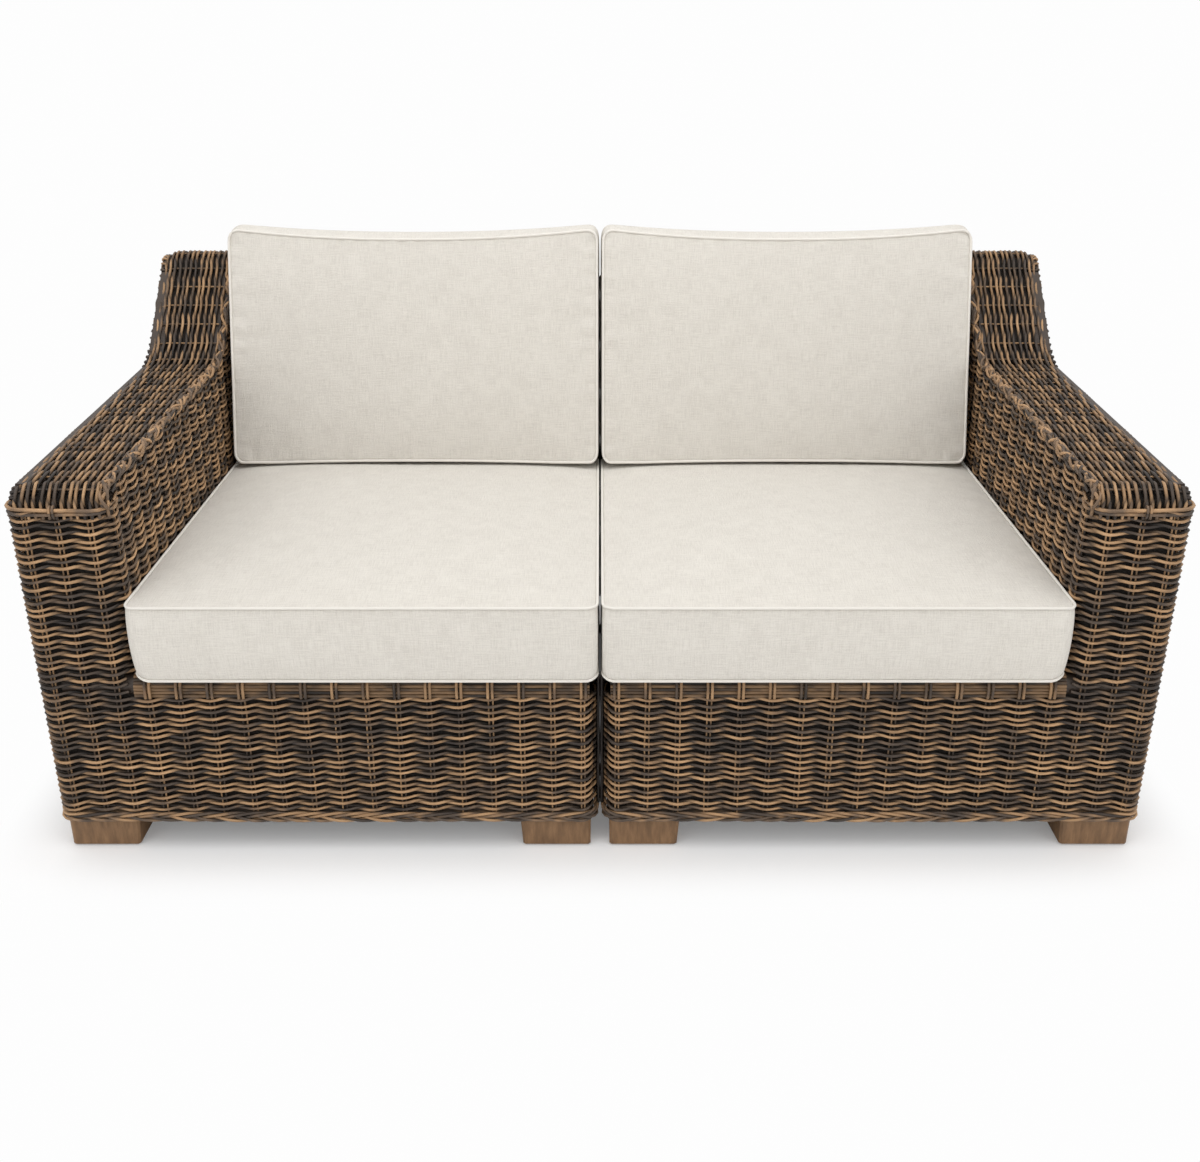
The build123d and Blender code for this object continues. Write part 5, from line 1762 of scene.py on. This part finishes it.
def cushion_foam():
    shader = Shader("cushion_foam")
    cells = shader.node("ShaderNodeTexVoronoi", Vector=shader.places(), Scale=900.0)
    tone = shader.noise(shader.places(), 8.0, 2.0, 0.5)
    shader.paint(cells * 0.6 + tone * 0.4, (0.62, 0.58, 0.44), (0.76, 0.73, 0.60), 0.92)
    shader.bump(cells, 0.6, 0.0006)
    return shader.material


# %% [markdown]
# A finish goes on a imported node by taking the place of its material. Most nodes have the
# same name on both sides; the link's two halves are each on one side only.


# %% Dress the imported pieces
def dress(pieces, finish):
    """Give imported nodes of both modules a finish."""
    for side in SIDES:
        for piece in pieces:
            name = piece if piece.startswith(("left_", "right_")) else f"{side}_{piece}"
            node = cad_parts[name]
            node.data.materials.clear()
            node.data.materials.append(finish)
    print(finish.name, "on", ", ".join(pieces))


zinc = zinc_steel("zinc_steel", (0.62, 0.63, 0.64), (0.42, 0.43, 0.45))
zip_metal = zinc_steel("zip_metal", (0.58, 0.56, 0.53), (0.44, 0.42, 0.40))
dress(["arm_frame", "back_frame", "base_frame", "seat_frame"], coated_frame())
dress(["feet"], oiled_wood())
dress(["glides"], black_rubber())
dress(["foot_bolts", "left_link_tongue", "right_link_jaw"], zinc)
dress(["seat_zip_slider", "back_zip_slider"], zip_metal)
dress(["seat_webbing"], strap_webbing())
dress(["seat_cushion_core", "back_cushion_core"], cushion_foam())

# %% [markdown]
# The stage is a pale floor that ends in nothing: a camera ray that meets the floor or the
# world sees near white, so the picture's ground is bright while the lamps stay low enough
# that the linen keeps its own colour. Near the loveseat the floor glows less, so that it
# keeps the shadow. The lamps are large, so the shadows are soft.

# %% Floor and world
GROUND_WHITE = 0.985
SHADOW_REACH, SHADOW_GLOW = 0.14, 0.16

floor_shader = Shader("floor")
tree = floor_shader.tree
floor_shader.set(Base_Color=(0.96, 0.96, 0.96, 1.0), Roughness=0.9)
glow = floor_shader.node("ShaderNodeEmission", Strength=GROUND_WHITE)
camera_ray = floor_shader.node("ShaderNodeLightPath")
reach = floor_shader.vector("ABSOLUTE", floor_shader.places())
past = floor_shader.vector("SUBTRACT", reach, (OUTER_X, REAR_Y, 0.0))
past = floor_shader.vector("MAXIMUM", past, (0.0, 0.0, 0.0))
spot = floor_shader.vector("LENGTH", past, out=1)
far = floor_shader.node("ShaderNodeMapRange", settings={"interpolation_type": "SMOOTHSTEP"}, Value=spot,
                        From_Min=0.0, From_Max=SHADOW_REACH, To_Min=SHADOW_GLOW, To_Max=1.0)
surface = Wire(tree, floor_shader.surface.outputs[0])
seen_glow = floor_shader.node("ShaderNodeMixShader", _0=camera_ray * far, _1=surface, _2=glow)
tree.links.new(seen_glow.socket, tree.nodes["Material Output"].inputs["Surface"])
floor_mesh = bpy.data.meshes.new("floor")
floor_mesh.from_pydata([(-30.0, -30.0, 0.0), (30.0, -30.0, 0.0), (30.0, 30.0, 0.0), (-30.0, 30.0, 0.0)],
                       [], [(0, 1, 2, 3)])
floor_mesh.materials.append(floor_shader.material)
floor = bpy.data.objects.new("floor", floor_mesh)
bpy.context.scene.collection.objects.link(floor)

SKY = 0.86
world = bpy.data.worlds.new("studio")
world.use_nodes = True
bpy.context.scene.world = world
tree = world.node_tree
back = tree.nodes["Background"]
back.inputs[0].default_value = (1.0, 1.0, 1.0, 1.0)
seen = tree.nodes.new("ShaderNodeLightPath")
bright = Wire(tree, seen.outputs["Is Camera Ray"]) + Wire(tree, seen.outputs["Is Glossy Ray"]) * 0.5
strength = bright.at_most(1.0) * (GROUND_WHITE - SKY) + SKY
tree.links.new(strength.socket, back.inputs[1])
print("floor and world look", GROUND_WHITE, "white, and the world lights with", SKY)

# %% [markdown]
# One lamp overhead gives most of the light, and two weaker ones before the loveseat open up
# the shade in the weave.

# %% Lamps
AIM = (0.0, 0.0, 0.4)


def lamp(name, place, size, power):
    """A square soft box, turned to the loveseat."""
    data = bpy.data.lights.new(name, "AREA")
    data.shape = "SQUARE"
    data.size = size
    data.energy = power
    made = bpy.data.objects.new(name, data)
    made.location = place
    made.rotation_euler = (Vector(AIM) - Vector(place)).to_track_quat("-Z", "Y").to_euler()
    bpy.context.scene.collection.objects.link(made)
    print(name, "lamp", power, "W")


lamp("overhead", (0.0, -0.8, 3.4), 3.0, 46.0)
lamp("front_left", (-2.4, -2.8, 2.4), 1.8, 9.0)
lamp("front_right", (2.6, -2.6, 2.2), 1.8, 7.0)
